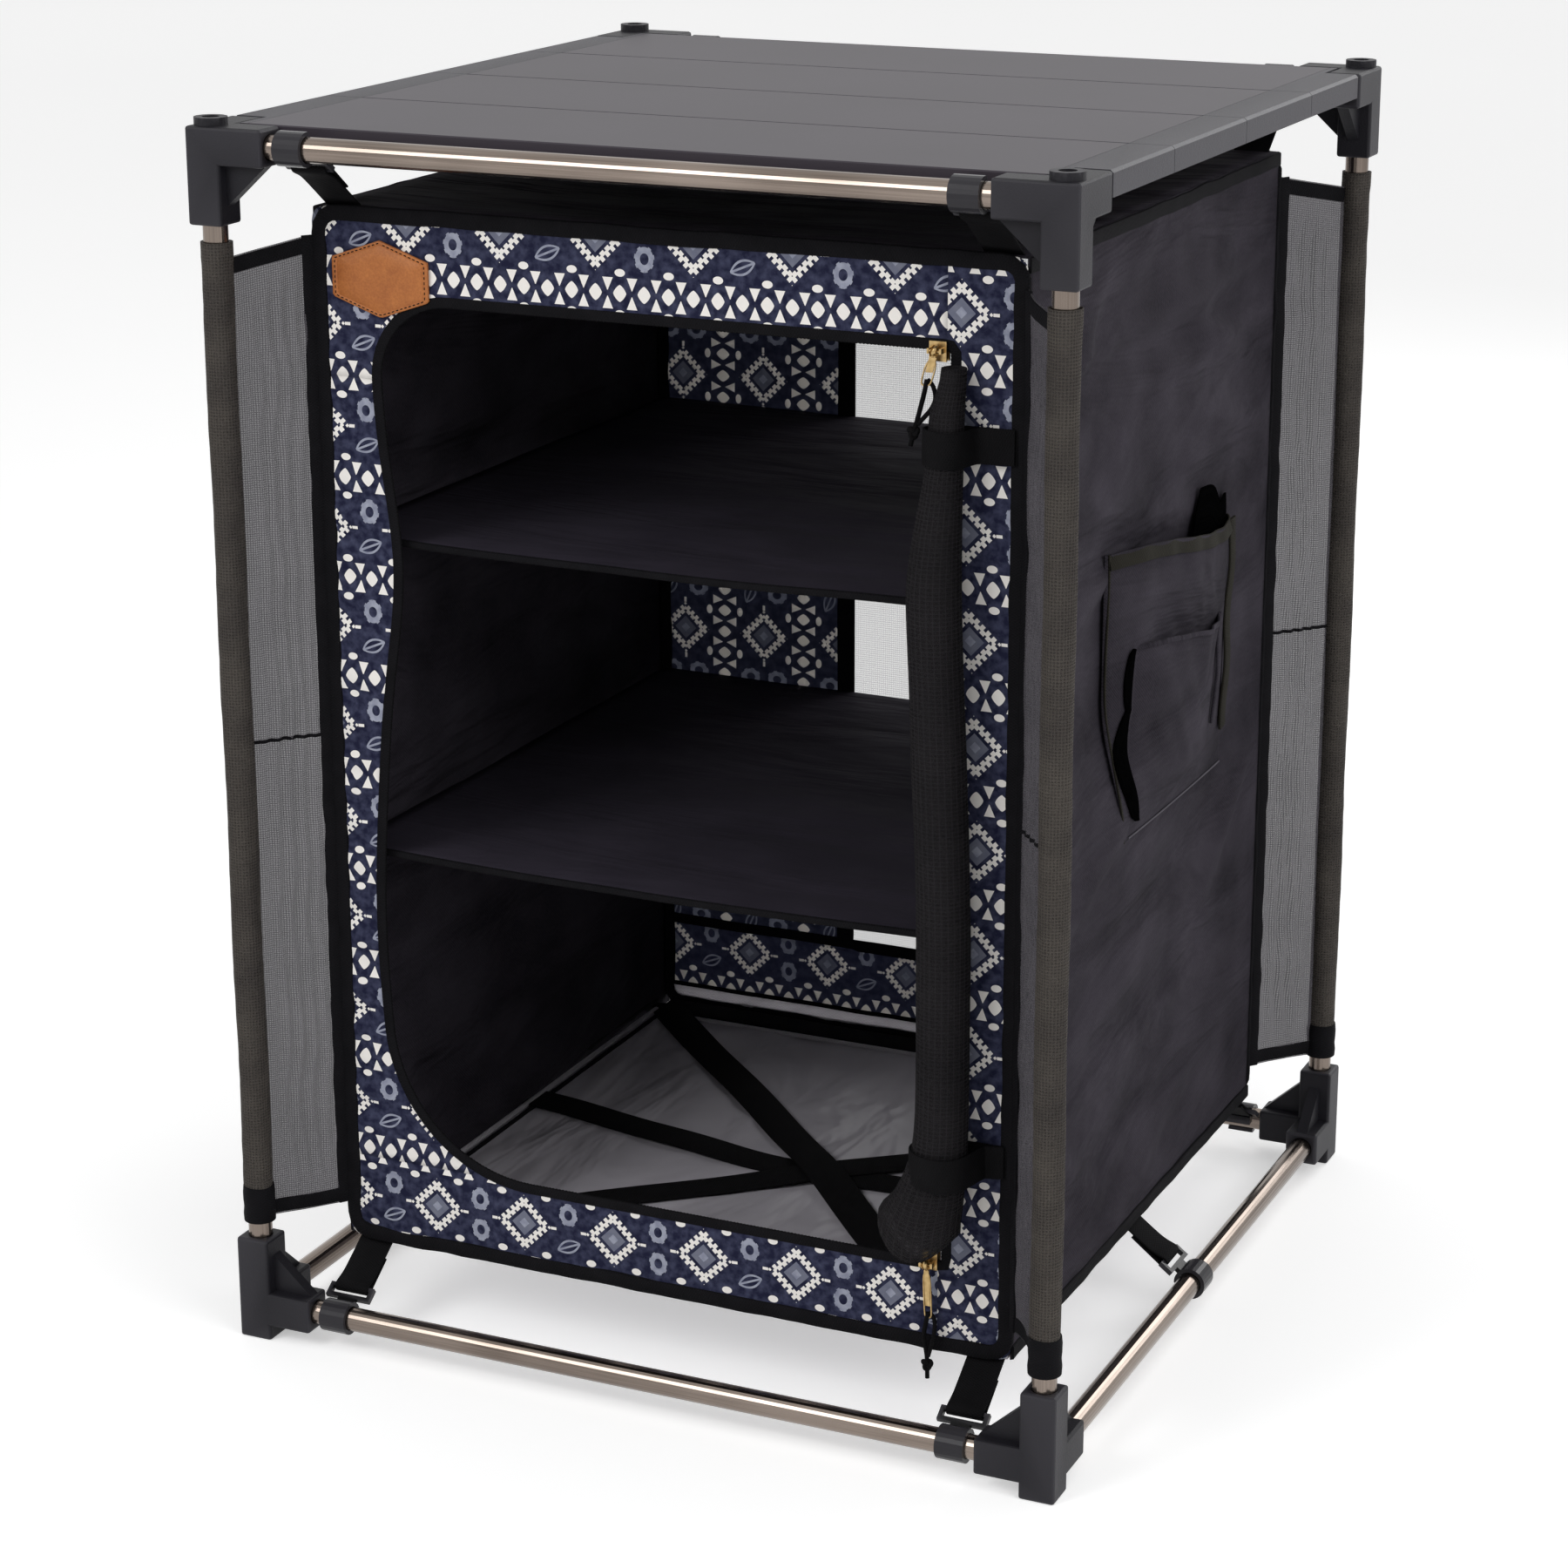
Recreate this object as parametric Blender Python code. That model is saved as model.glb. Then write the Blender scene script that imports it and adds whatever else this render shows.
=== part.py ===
# Folding camp storage rack. A tube frame stands on four moulded feet and carries a
# roll-up table top of four slats. A fabric cabinet with two shelves hangs inside it,
# held by webbing and snap clips, and mesh wings join its corners to the uprights.
# Metres, +Z up. The front faces -Y, and the origin is on the floor under the middle.

import math

import bmesh
import bpy
from mathutils import Matrix, Vector

# Frame tubes
POST_SPACING_X = 0.562  # between the uprights' axes, side to side
POST_SPACING_Y = 0.580  # between the uprights' axes, front to back
RAIL_SPACING_Z = 0.780  # bottom rails' axes to top rails' axes
TUBE_RADIUS = 0.008
TUBE_WALL = 0.001
TUBE_SIDES = 24
SEAT_GAP = 0.0003  # between pieces that seat on each other

# Corner connectors
SOCKET_WALL = 0.0036  # plastic round a tube
ARM_LENGTH = 0.042  # upright's axis to the end of an arm
SOCKET_REACH = 0.0495  # rail axis to the rim of the upright's socket
FOOT_DROP = 0.0106  # foot below the underside of the arms
RAIL_STOP = 0.0135  # upright's axis to the end of a rail
POST_STOP = 0.0130  # rail axis to the end of an upright
GUSSET_THICKNESS = 0.008
GUSSET_SETBACK = 0.0080  # behind the connector's outer face
GUSSET_BELOW_RIM = 0.012
CONNECTOR_ROUND = 0.0018
RIM_CHAMFER = 0.0012
BOSS_RADIUS = 0.0105
BOSS_HEIGHT = 0.005
DISH_RADIUS = 0.0055
DISH_DEPTH = 0.0025

# Table top
SLAT_COUNT = 4
SLAT_DEPTH = 0.010
SLAT_WALL = 0.0016
SLAT_FLANGE = 0.008
SLAT_SEAM = 0.0006  # between neighbouring slats
SLAT_CHAMFER = 0.0008  # along the top edges at the seams
DECK_CLEARANCE = 0.0015  # slats to the connectors' arms, front and back
SLAT_END_INSET = 0.018  # side rail's axis to the end of a slat
CAP_SKIRT = 0.0027  # thickness of an end cap's skirt
CAP_DROP = 0.004  # skirt below the side rail's axis
CAP_TO_ARM = 0.0025  # end cap to the end of a connector's arm
TONGUE_LENGTH = 0.012

# Fabric cabinet
CABINET_INSET_X = 0.041  # upright's axis to the cabinet's side
CABINET_INSET_Y = 0.048  # upright's axis to the cabinet's front or back
CABINET_RISE = 0.0375  # cabinet's base above the bottom rails' axes
CABINET_DROP = 0.042  # cabinet's top below the top rails' axes
SKIN = 0.002  # fabric panel with its binding
BOARD = 0.003  # stiffened floor and shelves
DOOR_LEFT_BORDER = 0.044
DOOR_RIGHT_BORDER = 0.047
DOOR_TOP_BORDER = 0.058
DOOR_BOTTOM_BORDER = 0.0595
DOOR_TOP_RADIUS = 0.050
DOOR_BOTTOM_RADIUS = 0.095
DOOR_CORNER_RADIUS = 0.0015
LOWER_SHELF_HEIGHT = 0.2735  # above the cabinet's base
UPPER_SHELF_HEIGHT = 0.4855
SHELF_SETBACK = 0.006  # shelf's front edge behind the front border
WINDOW_WIDTH = 0.164
WINDOW_BOTTOM = 0.0575  # window's lower edge above the cabinet's base
WINDOW_TOP_BORDER = 0.058
NET_THICKNESS = 0.0008

# Mesh wings
WING_FOOT = 0.0615  # sleeve's lower end above the bottom rails' axes
WING_HEAD = 0.0605  # sleeve's upper end below the top rails' axes
SLEEVE_WALL = 0.0012
WING_THICKNESS = 0.0012

# Webbing and clips
WEBBING_WIDTH = 0.025
WEBBING_THICKNESS = 0.0018
WEBBING_ROOT = 0.010  # where the webbing is sewn on, in from the panel's edge
CLIP_INSET = 0.059  # upright's axis to the middle of a clip on the front or back rail
CLIP_WIDTH = 0.019
CLIP_WALL = 0.0027
CLIP_MOUTH = math.radians(64)
MOUTH_TURN = math.radians(74)  # from the clip's neck to the middle of its mouth
LOOP_BAR = 0.0030
LOOP_SLOT = 0.0045
LOOP_THICKNESS = 0.0035
LOOP_FIT = 0.0010  # slot's ends beyond the webbing's edges
NECK_LENGTH = 0.0025
NECK_WIDTH = 0.013

# Rolled door
ROLL_RADIUS = 0.0225
ROLL_TOP_RADIUS = 0.010
ROLL_SIDES = 20
ROLL_TAPER_RINGS = 6
ROLL_TAPER = 0.075  # length over which the top of the roll narrows
ROLL_FOOT_GAP = 0.0125  # opening's lower edge to the roll
ROLL_HEAD_GAP = 0.030  # opening's upper edge to the roll
ROLL_OVER_BORDER = 0.025  # roll's right side beyond the opening's right edge
ROLL_BAND_HEIGHT = 0.022
ROLL_BAND_THICKNESS = 0.0015
ROLL_BAND_LOW = 0.040  # lower band's middle above the roll's foot
ROLL_BAND_HIGH = 0.028  # upper band's middle below the roll's top
ROLL_BAND_TAB = 0.018  # band's end on the border, beyond the roll

# Zip sliders and pulls
ZIP_LENGTH = 0.011
ZIP_BLADE = 0.0016
ZIP_CLEARANCE = 0.0006
ZIP_OVER_FABRIC = 0.005
ZIP_BEYOND_EDGE = 0.007
ZIP_POST = 0.005
BRIDGE_RADIUS = 0.0011
BRIDGE_STANDOFF = 0.0044
BRIDGE_SPAN = 0.0064  # between the bridge's two feet
BRIDGE_FOOT = 0.0014
BRIDGE_FOOT_HALF = 0.0016  # half the height of each foot
BRIDGE_SIDES = 10
EYE_WALL = 0.0018
EYE_WIDTH = 0.0040
EYE_SIDES = 14
TOP_SLIDER_INSET = 0.0080  # slider from the opening's right edge
BOTTOM_SLIDER_INSET = 0.0080
TOP_PULL_LENGTH = 0.058
BOTTOM_PULL_LENGTH = 0.078
TAB_LENGTH = 0.021
TAB_WIDTH = 0.0068
TAB_THICKNESS = 0.0020
TAB_NECK = 0.5  # tab's width at its eye, as a share of its full width
TAB_SHOULDER = 0.75
CORD_RADIUS = 0.0017
CORD_SIDES = 10
CORD_TAIL = 0.0035  # cord's end below its knot
KNOT_RADIUS = 0.0034
KNOT_LENGTH = 0.0060

# Side pocket
POCKET_WIDTH = 0.245
POCKET_HEIGHT = 0.200
POCKET_OFFSET_Y = 0.0215  # pocket's middle behind the cabinet's middle
POCKET_BASE = 0.287  # pocket's lower edge above the cabinet's base
POCKET_BULGE = 0.020
POCKET_SKIN = 0.0015
SMALL_POCKET_WIDTH = 0.185
SMALL_POCKET_HEIGHT = 0.125
SMALL_POCKET_BULGE = 0.0125
SMALL_POCKET_BASE = 0.012  # above the large pocket's lower edge
POCKET_FULLNESS = 0.7  # under 1 gives a flat front with steep sides
POCKET_COLUMNS = 14
POCKET_ROWS = 8

# Sizes that follow from those above
SOCKET_HALF = TUBE_RADIUS + SEAT_GAP + SOCKET_WALL
BORE_RADIUS = TUBE_RADIUS + SEAT_GAP
BOTTOM_AXIS_Z = SOCKET_HALF + FOOT_DROP
TOP_AXIS_Z = BOTTOM_AXIS_Z + RAIL_SPACING_Z
POST_X = POST_SPACING_X / 2
POST_Y = POST_SPACING_Y / 2
CLIP_X = POST_X - CLIP_INSET
CABINET_X = POST_X - CABINET_INSET_X
CABINET_Y = POST_Y - CABINET_INSET_Y
CABINET_BASE_Z = BOTTOM_AXIS_Z + CABINET_RISE
CABINET_HEIGHT = RAIL_SPACING_Z - CABINET_RISE - CABINET_DROP
DOOR_LEFT = -CABINET_X + DOOR_LEFT_BORDER
DOOR_RIGHT = CABINET_X - DOOR_RIGHT_BORDER
DOOR_BOTTOM = DOOR_BOTTOM_BORDER
DOOR_TOP = CABINET_HEIGHT - DOOR_TOP_BORDER
TABLE_TOP_Z = TOP_AXIS_Z + SOCKET_HALF
DECK_LENGTH = POST_SPACING_Y - 2 * (SOCKET_HALF + DECK_CLEARANCE)
SLAT_PITCH = DECK_LENGTH / SLAT_COUNT
CLIP_OUTER = TUBE_RADIUS + SEAT_GAP + CLIP_WALL
CLIP_REACH = CLIP_OUTER + NECK_LENGTH + 2 * LOOP_BAR + LOOP_SLOT

ROUND_SEGMENTS = 2
SMOOTH_ANGLE = math.radians(35)


# Small tools

def to_mesh(name, bm):
    bmesh.ops.recalc_face_normals(bm, faces=bm.faces)
    mesh = bpy.data.meshes.new(name)
    bm.to_mesh(mesh)
    bm.free()
    return mesh


def box(low, high, rounding=0.0):
    low, high = Vector(low), Vector(high)
    bm = bmesh.new()
    place = Matrix.Translation((low + high) / 2) @ Matrix.Diagonal((*(high - low), 1))
    bmesh.ops.create_cube(bm, size=1.0, matrix=place)
    if rounding:
        bmesh.ops.bevel(bm, geom=bm.edges[:], offset=rounding, segments=ROUND_SEGMENTS,
                        profile=0.5, affect='EDGES')
    return to_mesh("box", bm)


def prism(outline, along):
    """A flat outline, swept along a vector."""
    bm = bmesh.new()
    along = Vector(along)
    near = [bm.verts.new(Vector(point)) for point in outline]
    far = [bm.verts.new(Vector(point) + along) for point in outline]
    bm.faces.new(near)
    bm.faces.new(far[::-1])
    for i in range(len(outline)):
        j = (i + 1) % len(outline)
        bm.faces.new((near[i], far[i], far[j], near[j]))
    return to_mesh("prism", bm)


def loft(rings):
    """Closed rings of equal counts, skinned in turn and capped at both ends."""
    bm = bmesh.new()
    loops = [[bm.verts.new(point) for point in ring] for ring in rings]
    for below, above in zip(loops, loops[1:]):
        for i in range(len(below)):
            j = (i + 1) % len(below)
            bm.faces.new((below[i], below[j], above[j], above[i]))
    bm.faces.new(loops[0][::-1])
    bm.faces.new(loops[-1])
    return to_mesh("loft", bm)


def arc(centre, radius, start, end, steps):
    return [(centre[0] + radius * math.cos(start + (end - start) * i / steps),
             centre[1] + radius * math.sin(start + (end - start) * i / steps))
            for i in range(steps + 1)]


def cylinder(radius, length, centre=(0, 0, 0), axis='Z', sides=TUBE_SIDES):
    turns = {'X': Matrix.Rotation(math.pi / 2, 4, 'Y'),
             'Y': Matrix.Rotation(math.pi / 2, 4, 'X'),
             'Z': Matrix.Identity(4)}
    bm = bmesh.new()
    bmesh.ops.create_cone(bm, cap_ends=True, segments=sides, radius1=radius,
                          radius2=radius, depth=length,
                          matrix=Matrix.Translation(centre) @ turns[axis])
    return to_mesh("cylinder", bm)


def moved(mesh, matrix):
    mesh.transform(matrix)
    if matrix.determinant() < 0:
        mesh.flip_normals()
    return mesh


def combine(base, *steps):
    """One mesh from a base and its unions and cuts, in order."""
    scene = bpy.context.scene.collection
    work = bpy.data.objects.new("work", base)
    scene.objects.link(work)
    tools = []
    for operation, mesh in steps:
        tool = bpy.data.objects.new("tool", mesh)
        scene.objects.link(tool)
        modifier = work.modifiers.new(operation, 'BOOLEAN')
        modifier.operation = operation
        modifier.solver = 'EXACT'
        modifier.object = tool
        tools.append(tool)
    bpy.context.view_layer.update()
    evaluated = work.evaluated_get(bpy.context.evaluated_depsgraph_get())
    result = bpy.data.meshes.new_from_object(evaluated)
    for obj in [work, *tools]:
        bpy.data.objects.remove(obj)
    return result


def finish(name, colour, roughness, metallic=0.0):
    material = bpy.data.materials.new(name)
    material.use_nodes = True
    shader = material.node_tree.nodes["Principled BSDF"]
    shader.inputs["Base Color"].default_value = (*colour, 1.0)
    shader.inputs["Roughness"].default_value = roughness
    shader.inputs["Metallic"].default_value = metallic
    return material


def empty(name, location, parent=None):
    obj = bpy.data.objects.new(name, None)
    obj.empty_display_size = 0.02
    return placed(obj, location, parent)


def add(name, mesh, material, location=(0, 0, 0), rotation=(0, 0, 0), parent=None):
    """One piece of the rack. The location is in the world, also under a parent."""
    mesh.name = name
    if not mesh.materials:
        mesh.materials.append(material)
        mesh.shade_smooth()
        mesh.set_sharp_from_angle(angle=SMOOTH_ANGLE)
    obj = bpy.data.objects.new(name, mesh)
    obj.rotation_euler = rotation
    return placed(obj, location, parent)


def placed(obj, location, parent):
    bpy.context.scene.collection.objects.link(obj)
    home = parent["home"] if parent else (0, 0, 0)
    obj["home"] = tuple(location)
    obj.location = Vector(location) - Vector(home)
    obj.parent = parent
    return obj


# The four corners, counted round from the front left
CORNERS = (
    ("front_left", -1, -1, 0.0),
    ("front_right", 1, -1, math.pi / 2),
    ("rear_right", 1, 1, math.pi),
    ("rear_left", -1, 1, -math.pi / 2),
)


# Frame

def tube(length, axis):
    bore = cylinder(TUBE_RADIUS - TUBE_WALL, 2 * length, axis=axis)
    return combine(cylinder(TUBE_RADIUS, length, axis=axis), ('DIFFERENCE', bore))


def gusset(up):
    """Triangular web between the socket and the arm along +X, up is 1 or -1."""
    outer = -SOCKET_HALF + GUSSET_SETBACK
    overlap = SOCKET_WALL / 2
    root = SOCKET_HALF - overlap
    outline = [
        (root, outer, up * root),
        (ARM_LENGTH - CONNECTOR_ROUND, outer, up * root),
        (ARM_LENGTH - CONNECTOR_ROUND, outer, up * SOCKET_HALF),
        (SOCKET_HALF, outer, up * (SOCKET_REACH - GUSSET_BELOW_RIM)),
        (root, outer, up * (SOCKET_REACH - GUSSET_BELOW_RIM)),
    ]
    return prism(outline, (0, GUSSET_THICKNESS, 0))


def mirrored_over_diagonal(mesh):
    """Swaps X and Y, which turns the X arm's half of a connector into the Y arm's."""
    swap = Matrix(((0, 1, 0, 0), (1, 0, 0, 0), (0, 0, 1, 0), (0, 0, 0, 1)))
    return moved(mesh, swap)


def connector(up, beyond):
    """Three-way corner for arms along +X and +Y. Its socket points up (1) or down (-1),
    and its block goes beyond the rails' axes, the other way, by the stated length."""
    low, high = sorted((-up * beyond, up * SOCKET_REACH))
    half = SOCKET_HALF
    block = box((-half, -half, low), (half, half, high), CONNECTOR_ROUND)
    arm = ((0, -half, -half), (ARM_LENGTH, half, half), CONNECTOR_ROUND)
    bore_length = ARM_LENGTH - RAIL_STOP
    middle = RAIL_STOP + bore_length
    post_bore = SOCKET_REACH - POST_STOP
    rim = chamfer_cone(up, up * (SOCKET_REACH - RIM_CHAMFER / 2))
    return combine(
        block,
        ('UNION', box(*arm)),
        ('UNION', mirrored_over_diagonal(box(*arm))),
        ('UNION', gusset(up)),
        ('UNION', mirrored_over_diagonal(gusset(up))),
        ('DIFFERENCE', cylinder(BORE_RADIUS, 2 * bore_length, (middle, 0, 0), 'X')),
        ('DIFFERENCE', cylinder(BORE_RADIUS, 2 * bore_length, (0, middle, 0), 'Y')),
        ('DIFFERENCE', cylinder(BORE_RADIUS, 2 * post_bore,
                                (0, 0, up * (POST_STOP + post_bore)))),
        ('DIFFERENCE', rim),
    )


def chamfer_cone(up, z):
    """Cutter that opens the socket's rim."""
    wide, narrow = BORE_RADIUS + RIM_CHAMFER, BORE_RADIUS - RIM_CHAMFER
    bm = bmesh.new()
    bmesh.ops.create_cone(bm, cap_ends=True, segments=TUBE_SIDES,
                          radius1=wide if up < 0 else narrow,
                          radius2=narrow if up < 0 else wide,
                          depth=2 * RIM_CHAMFER,
                          matrix=Matrix.Translation((0, 0, z + up * RIM_CHAMFER / 2)))
    return to_mesh("chamfer", bm)


def top_connector():
    """A connector whose socket points down, with a dished boss on top."""
    overlap = CONNECTOR_ROUND
    boss = cylinder(BOSS_RADIUS, BOSS_HEIGHT + overlap,
                    (0, 0, SOCKET_HALF + (BOSS_HEIGHT - overlap) / 2))
    dish = cylinder(DISH_RADIUS, 2 * DISH_DEPTH, (0, 0, SOCKET_HALF + BOSS_HEIGHT))
    return combine(connector(-1, SOCKET_HALF), ('UNION', boss), ('DIFFERENCE', dish))


def add_rails(prefix, z, tubing, parent=None):
    stop = RAIL_STOP + SEAT_GAP
    across = tube(POST_SPACING_X - 2 * stop, 'X')
    along = tube(POST_SPACING_Y - 2 * stop, 'Y')
    add(prefix + "_rail_front", across, tubing, (0, -POST_Y, z), parent=parent)
    add(prefix + "_rail_rear", across, tubing, (0, POST_Y, z), parent=parent)
    add(prefix + "_rail_left", along, tubing, (-POST_X, 0, z), parent=parent)
    add(prefix + "_rail_right", along, tubing, (POST_X, 0, z), parent=parent)


def add_frame(tubing, plastic, top):
    foot = connector(1, SOCKET_HALF + FOOT_DROP)
    head = top_connector()
    post = tube(RAIL_SPACING_Z - 2 * (POST_STOP + SEAT_GAP), 'Z')
    for name, x, y, turn in CORNERS:
        corner = (x * POST_X, y * POST_Y)
        add("foot_connector_" + name, foot, plastic, (*corner, BOTTOM_AXIS_Z),
            (0, 0, turn))
        add("upright_" + name, post, tubing,
            (*corner, BOTTOM_AXIS_Z + RAIL_SPACING_Z / 2))
        add("top_connector_" + name, head, plastic, (*corner, TOP_AXIS_Z),
            (0, 0, turn), top)
    add_rails("bottom", BOTTOM_AXIS_Z, tubing)
    add_rails("top", TOP_AXIS_Z, tubing, top)


# Table top

def slat():
    """Aluminium extrusion with side walls, flanges and a middle rib. Its origin is on
    the hinge line along its front top edge."""
    front, back = SLAT_SEAM / 2, SLAT_PITCH - SLAT_SEAM / 2
    middle = SLAT_PITCH / 2
    wall, depth, flange = SLAT_WALL, SLAT_DEPTH, SLAT_FLANGE
    outline = [
        (front + SLAT_CHAMFER, 0), (front, -SLAT_CHAMFER), (front, -depth),
        (front + flange, -depth),
        (front + flange, -depth + wall), (front + wall, -depth + wall),
        (front + wall, -wall), (middle - wall / 2, -wall),
        (middle - wall / 2, -depth), (middle + wall / 2, -depth),
        (middle + wall / 2, -wall), (back - wall, -wall),
        (back - wall, -depth + wall), (back - flange, -depth + wall),
        (back - flange, -depth), (back, -depth), (back, -SLAT_CHAMFER),
        (back - SLAT_CHAMFER, 0),
    ]
    half = POST_X - SLAT_END_INSET
    return prism([(-half, y, z) for y, z in outline], (2 * half, 0, 0))


def cap_section():
    """Outline of an end cap across the right side rail, with the saddle that sits on
    the tube. X and Z are measured from the rail's axis and the table's top."""
    inner = -SLAT_END_INSET + SEAT_GAP
    saddle = BORE_RADIUS
    skirt = saddle + CAP_SKIRT
    low = -SOCKET_HALF - CAP_DROP
    over = arc((0, -SOCKET_HALF), saddle, 0.0, math.pi, TUBE_SIDES // 2)
    return [(inner, 0), (inner, -SLAT_DEPTH), (-skirt, -SLAT_DEPTH), (-skirt, low),
            (-saddle, low), *over[::-1], (saddle, low), (skirt, low),
            (skirt, -CONNECTOR_ROUND), (skirt - CONNECTOR_ROUND, 0)]


def slat_cap(index):
    """Moulded end cap of the right-hand end: a strip along the slat's end, tongues that
    plug into the slat, and a saddle as long as the connectors' arms leave room for."""
    front, back = SLAT_SEAM / 2, SLAT_PITCH - SLAT_SEAM / 2
    room = ARM_LENGTH - SOCKET_HALF - DECK_CLEARANCE + CAP_TO_ARM
    saddle_front = room if index == 0 else front
    saddle_back = SLAT_PITCH - room if index == SLAT_COUNT - 1 else back
    inner = -SLAT_END_INSET + SEAT_GAP
    strip_outer = -SOCKET_HALF - 2 * SEAT_GAP
    section = [(x, saddle_front, z) for x, z in cap_section()]
    saddle = prism(section, (0, saddle_back - saddle_front, 0))
    strip = box((inner, front, -SLAT_DEPTH), (strip_outer, back, 0))
    steps = [('UNION', strip)]
    gap = SLAT_WALL + SEAT_GAP
    middle = SLAT_PITCH / 2
    half_rib = SLAT_WALL / 2 + SEAT_GAP
    for start, end in ((front + gap, middle - half_rib), (middle + half_rib, back - gap)):
        tongue = box((inner - TONGUE_LENGTH, start, -SLAT_DEPTH + gap),
                     (inner + SLAT_WALL, end, -gap))
        steps.append(('UNION', tongue))
    return combine(saddle, *steps)


def add_table(aluminium, plastic, top):
    """Four slats in a chain. Each one after the first turns on the seam before it."""
    extrusion = slat()
    hinge = empty("table_lift", (0, -DECK_LENGTH / 2, TABLE_TOP_Z), top)
    for index in range(SLAT_COUNT):
        y = -DECK_LENGTH / 2 + index * SLAT_PITCH
        if index:
            hinge = empty(f"slat_hinge_{index + 1}", (0, y, TABLE_TOP_Z), hinge)
        add(f"table_slat_{index + 1}", extrusion, aluminium, (0, y, TABLE_TOP_Z),
            parent=hinge)
        right = slat_cap(index)
        left = moved(right.copy(), Matrix.Scale(-1, 4, (1, 0, 0)))
        add(f"slat_cap_{index + 1}_right", right, plastic, (POST_X, y, TABLE_TOP_Z),
            parent=hinge)
        add(f"slat_cap_{index + 1}_left", left, plastic, (-POST_X, y, TABLE_TOP_Z),
            parent=hinge)


# Webbing and clips

def tie_angle(rise, inset):
    """Angle of a strap above the level, from a rail's axis to where it is sewn on."""
    return math.atan2(rise, inset + WEBBING_ROOT)


BOTTOM_RISE = CABINET_RISE + BOARD / 2
TOP_RISE = -CABINET_DROP - SKIN / 2


def tie_matrix(x, y, z, turn, rise, inset, flip=0.0):
    """Puts a clip, made with its rail along X and its strap along +Z, on a rail."""
    return (Matrix.Translation((x, y, z)) @ Matrix.Rotation(turn, 4, 'Z')
            @ Matrix.Rotation(tie_angle(rise, inset) - math.pi / 2, 4, 'X')
            @ Matrix.Rotation(flip, 4, 'Z'))


def ties():
    """Name, matrix and strap length of every clip on the rails."""
    found = []
    for level, z, rise, flip in (("bottom", BOTTOM_AXIS_Z, BOTTOM_RISE, 0.0),
                                 ("top", TOP_AXIS_Z, TOP_RISE, math.pi)):
        for name, x, y, _ in CORNERS:
            turn = 0.0 if y < 0 else math.pi
            matrix = tie_matrix(x * CLIP_X, y * POST_Y, z, turn, rise,
                                CABINET_INSET_Y, flip)
            length = math.hypot(rise, CABINET_INSET_Y + WEBBING_ROOT)
            found.append((f"clip_{level}_{name}", matrix, length))
    for name, x, turn in (("left", -1, -math.pi / 2), ("right", 1, math.pi / 2)):
        matrix = tie_matrix(x * POST_X, 0, BOTTOM_AXIS_Z, turn, BOTTOM_RISE,
                            CABINET_INSET_X)
        length = math.hypot(BOTTOM_RISE, CABINET_INSET_X + WEBBING_ROOT)
        found.append((f"clip_bottom_{name}", matrix, length))
    return found


def clip():
    """Snap clip: an open ring round the rail, a neck, and the loop for the webbing."""
    inner, outer = TUBE_RADIUS + SEAT_GAP, CLIP_OUTER
    start = math.pi / 2 - MOUTH_TURN + CLIP_MOUTH / 2
    end = start + 2 * math.pi - CLIP_MOUTH
    steps = TUBE_SIDES - 4
    outline = arc((0, 0), outer, start, end, steps) + arc((0, 0), inner, end, start, steps)
    half = CLIP_WIDTH / 2
    ring = prism([(-half, y, z) for y, z in outline], (CLIP_WIDTH, 0, 0))
    loop_low = CLIP_OUTER + NECK_LENGTH
    slot_half = WEBBING_WIDTH / 2 + LOOP_FIT
    thick = LOOP_THICKNESS / 2
    neck = box((-NECK_WIDTH / 2, -thick, TUBE_RADIUS + SEAT_GAP + CLIP_WALL / 2),
               (NECK_WIDTH / 2, thick, loop_low + LOOP_BAR / 2))
    loop = box((-slot_half - LOOP_BAR, -thick, loop_low),
               (slot_half + LOOP_BAR, thick, CLIP_REACH))
    slot = box((-slot_half, -LOOP_THICKNESS, loop_low + LOOP_BAR),
               (slot_half, LOOP_THICKNESS, CLIP_REACH - LOOP_BAR))
    return combine(ring, ('UNION', neck), ('UNION', loop), ('DIFFERENCE', slot))


def add_clips(plastic, top):
    body = clip()
    for name, matrix, _ in ties():
        parent = top if "_top_" in name else None
        add(name, body, plastic, matrix.translation, matrix.to_euler(), parent)


def webbing(matrix, length):
    """Strap from a clip's loop to its root on a panel, in the cabinet's own space."""
    half = WEBBING_WIDTH / 2
    strap = box((-half, -WEBBING_THICKNESS / 2, CLIP_REACH + SEAT_GAP),
                (half, WEBBING_THICKNESS / 2, length))
    return moved(strap, Matrix.Translation((0, 0, -CABINET_BASE_Z)) @ matrix)


def with_webbing(panel, level):
    """A panel with the straps of its level sewn on."""
    straps = [webbing(matrix, length) for name, matrix, length in ties()
              if level in name]
    return combine(panel, *[('UNION', strap) for strap in straps])


# Fabric cabinet. Heights are measured from its base.

def door_outline():
    """Edge of the D-shaped opening: x and height, from the lower right corner."""
    quarter = math.pi / 2
    small, top, bottom = DOOR_CORNER_RADIUS, DOOR_TOP_RADIUS, DOOR_BOTTOM_RADIUS
    return (
        arc((DOOR_RIGHT - small, DOOR_BOTTOM + small), small, -quarter, 0, 3)
        + arc((DOOR_RIGHT - small, DOOR_TOP - small), small, 0, quarter, 3)
        + arc((DOOR_LEFT + top, DOOR_TOP - top), top, quarter, 2 * quarter, 10)
        + arc((DOOR_LEFT + bottom, DOOR_BOTTOM + bottom), bottom,
              2 * quarter, 3 * quarter, 14)
    )


def front_border():
    panel = box((-CABINET_X, -CABINET_Y, 0), (CABINET_X, -CABINET_Y + SKIN, CABINET_HEIGHT))
    before = -CABINET_Y - SKIN
    opening = prism([(x, before, z) for x, z in door_outline()], (0, 3 * SKIN, 0))
    return combine(panel, ('DIFFERENCE', opening))


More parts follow.
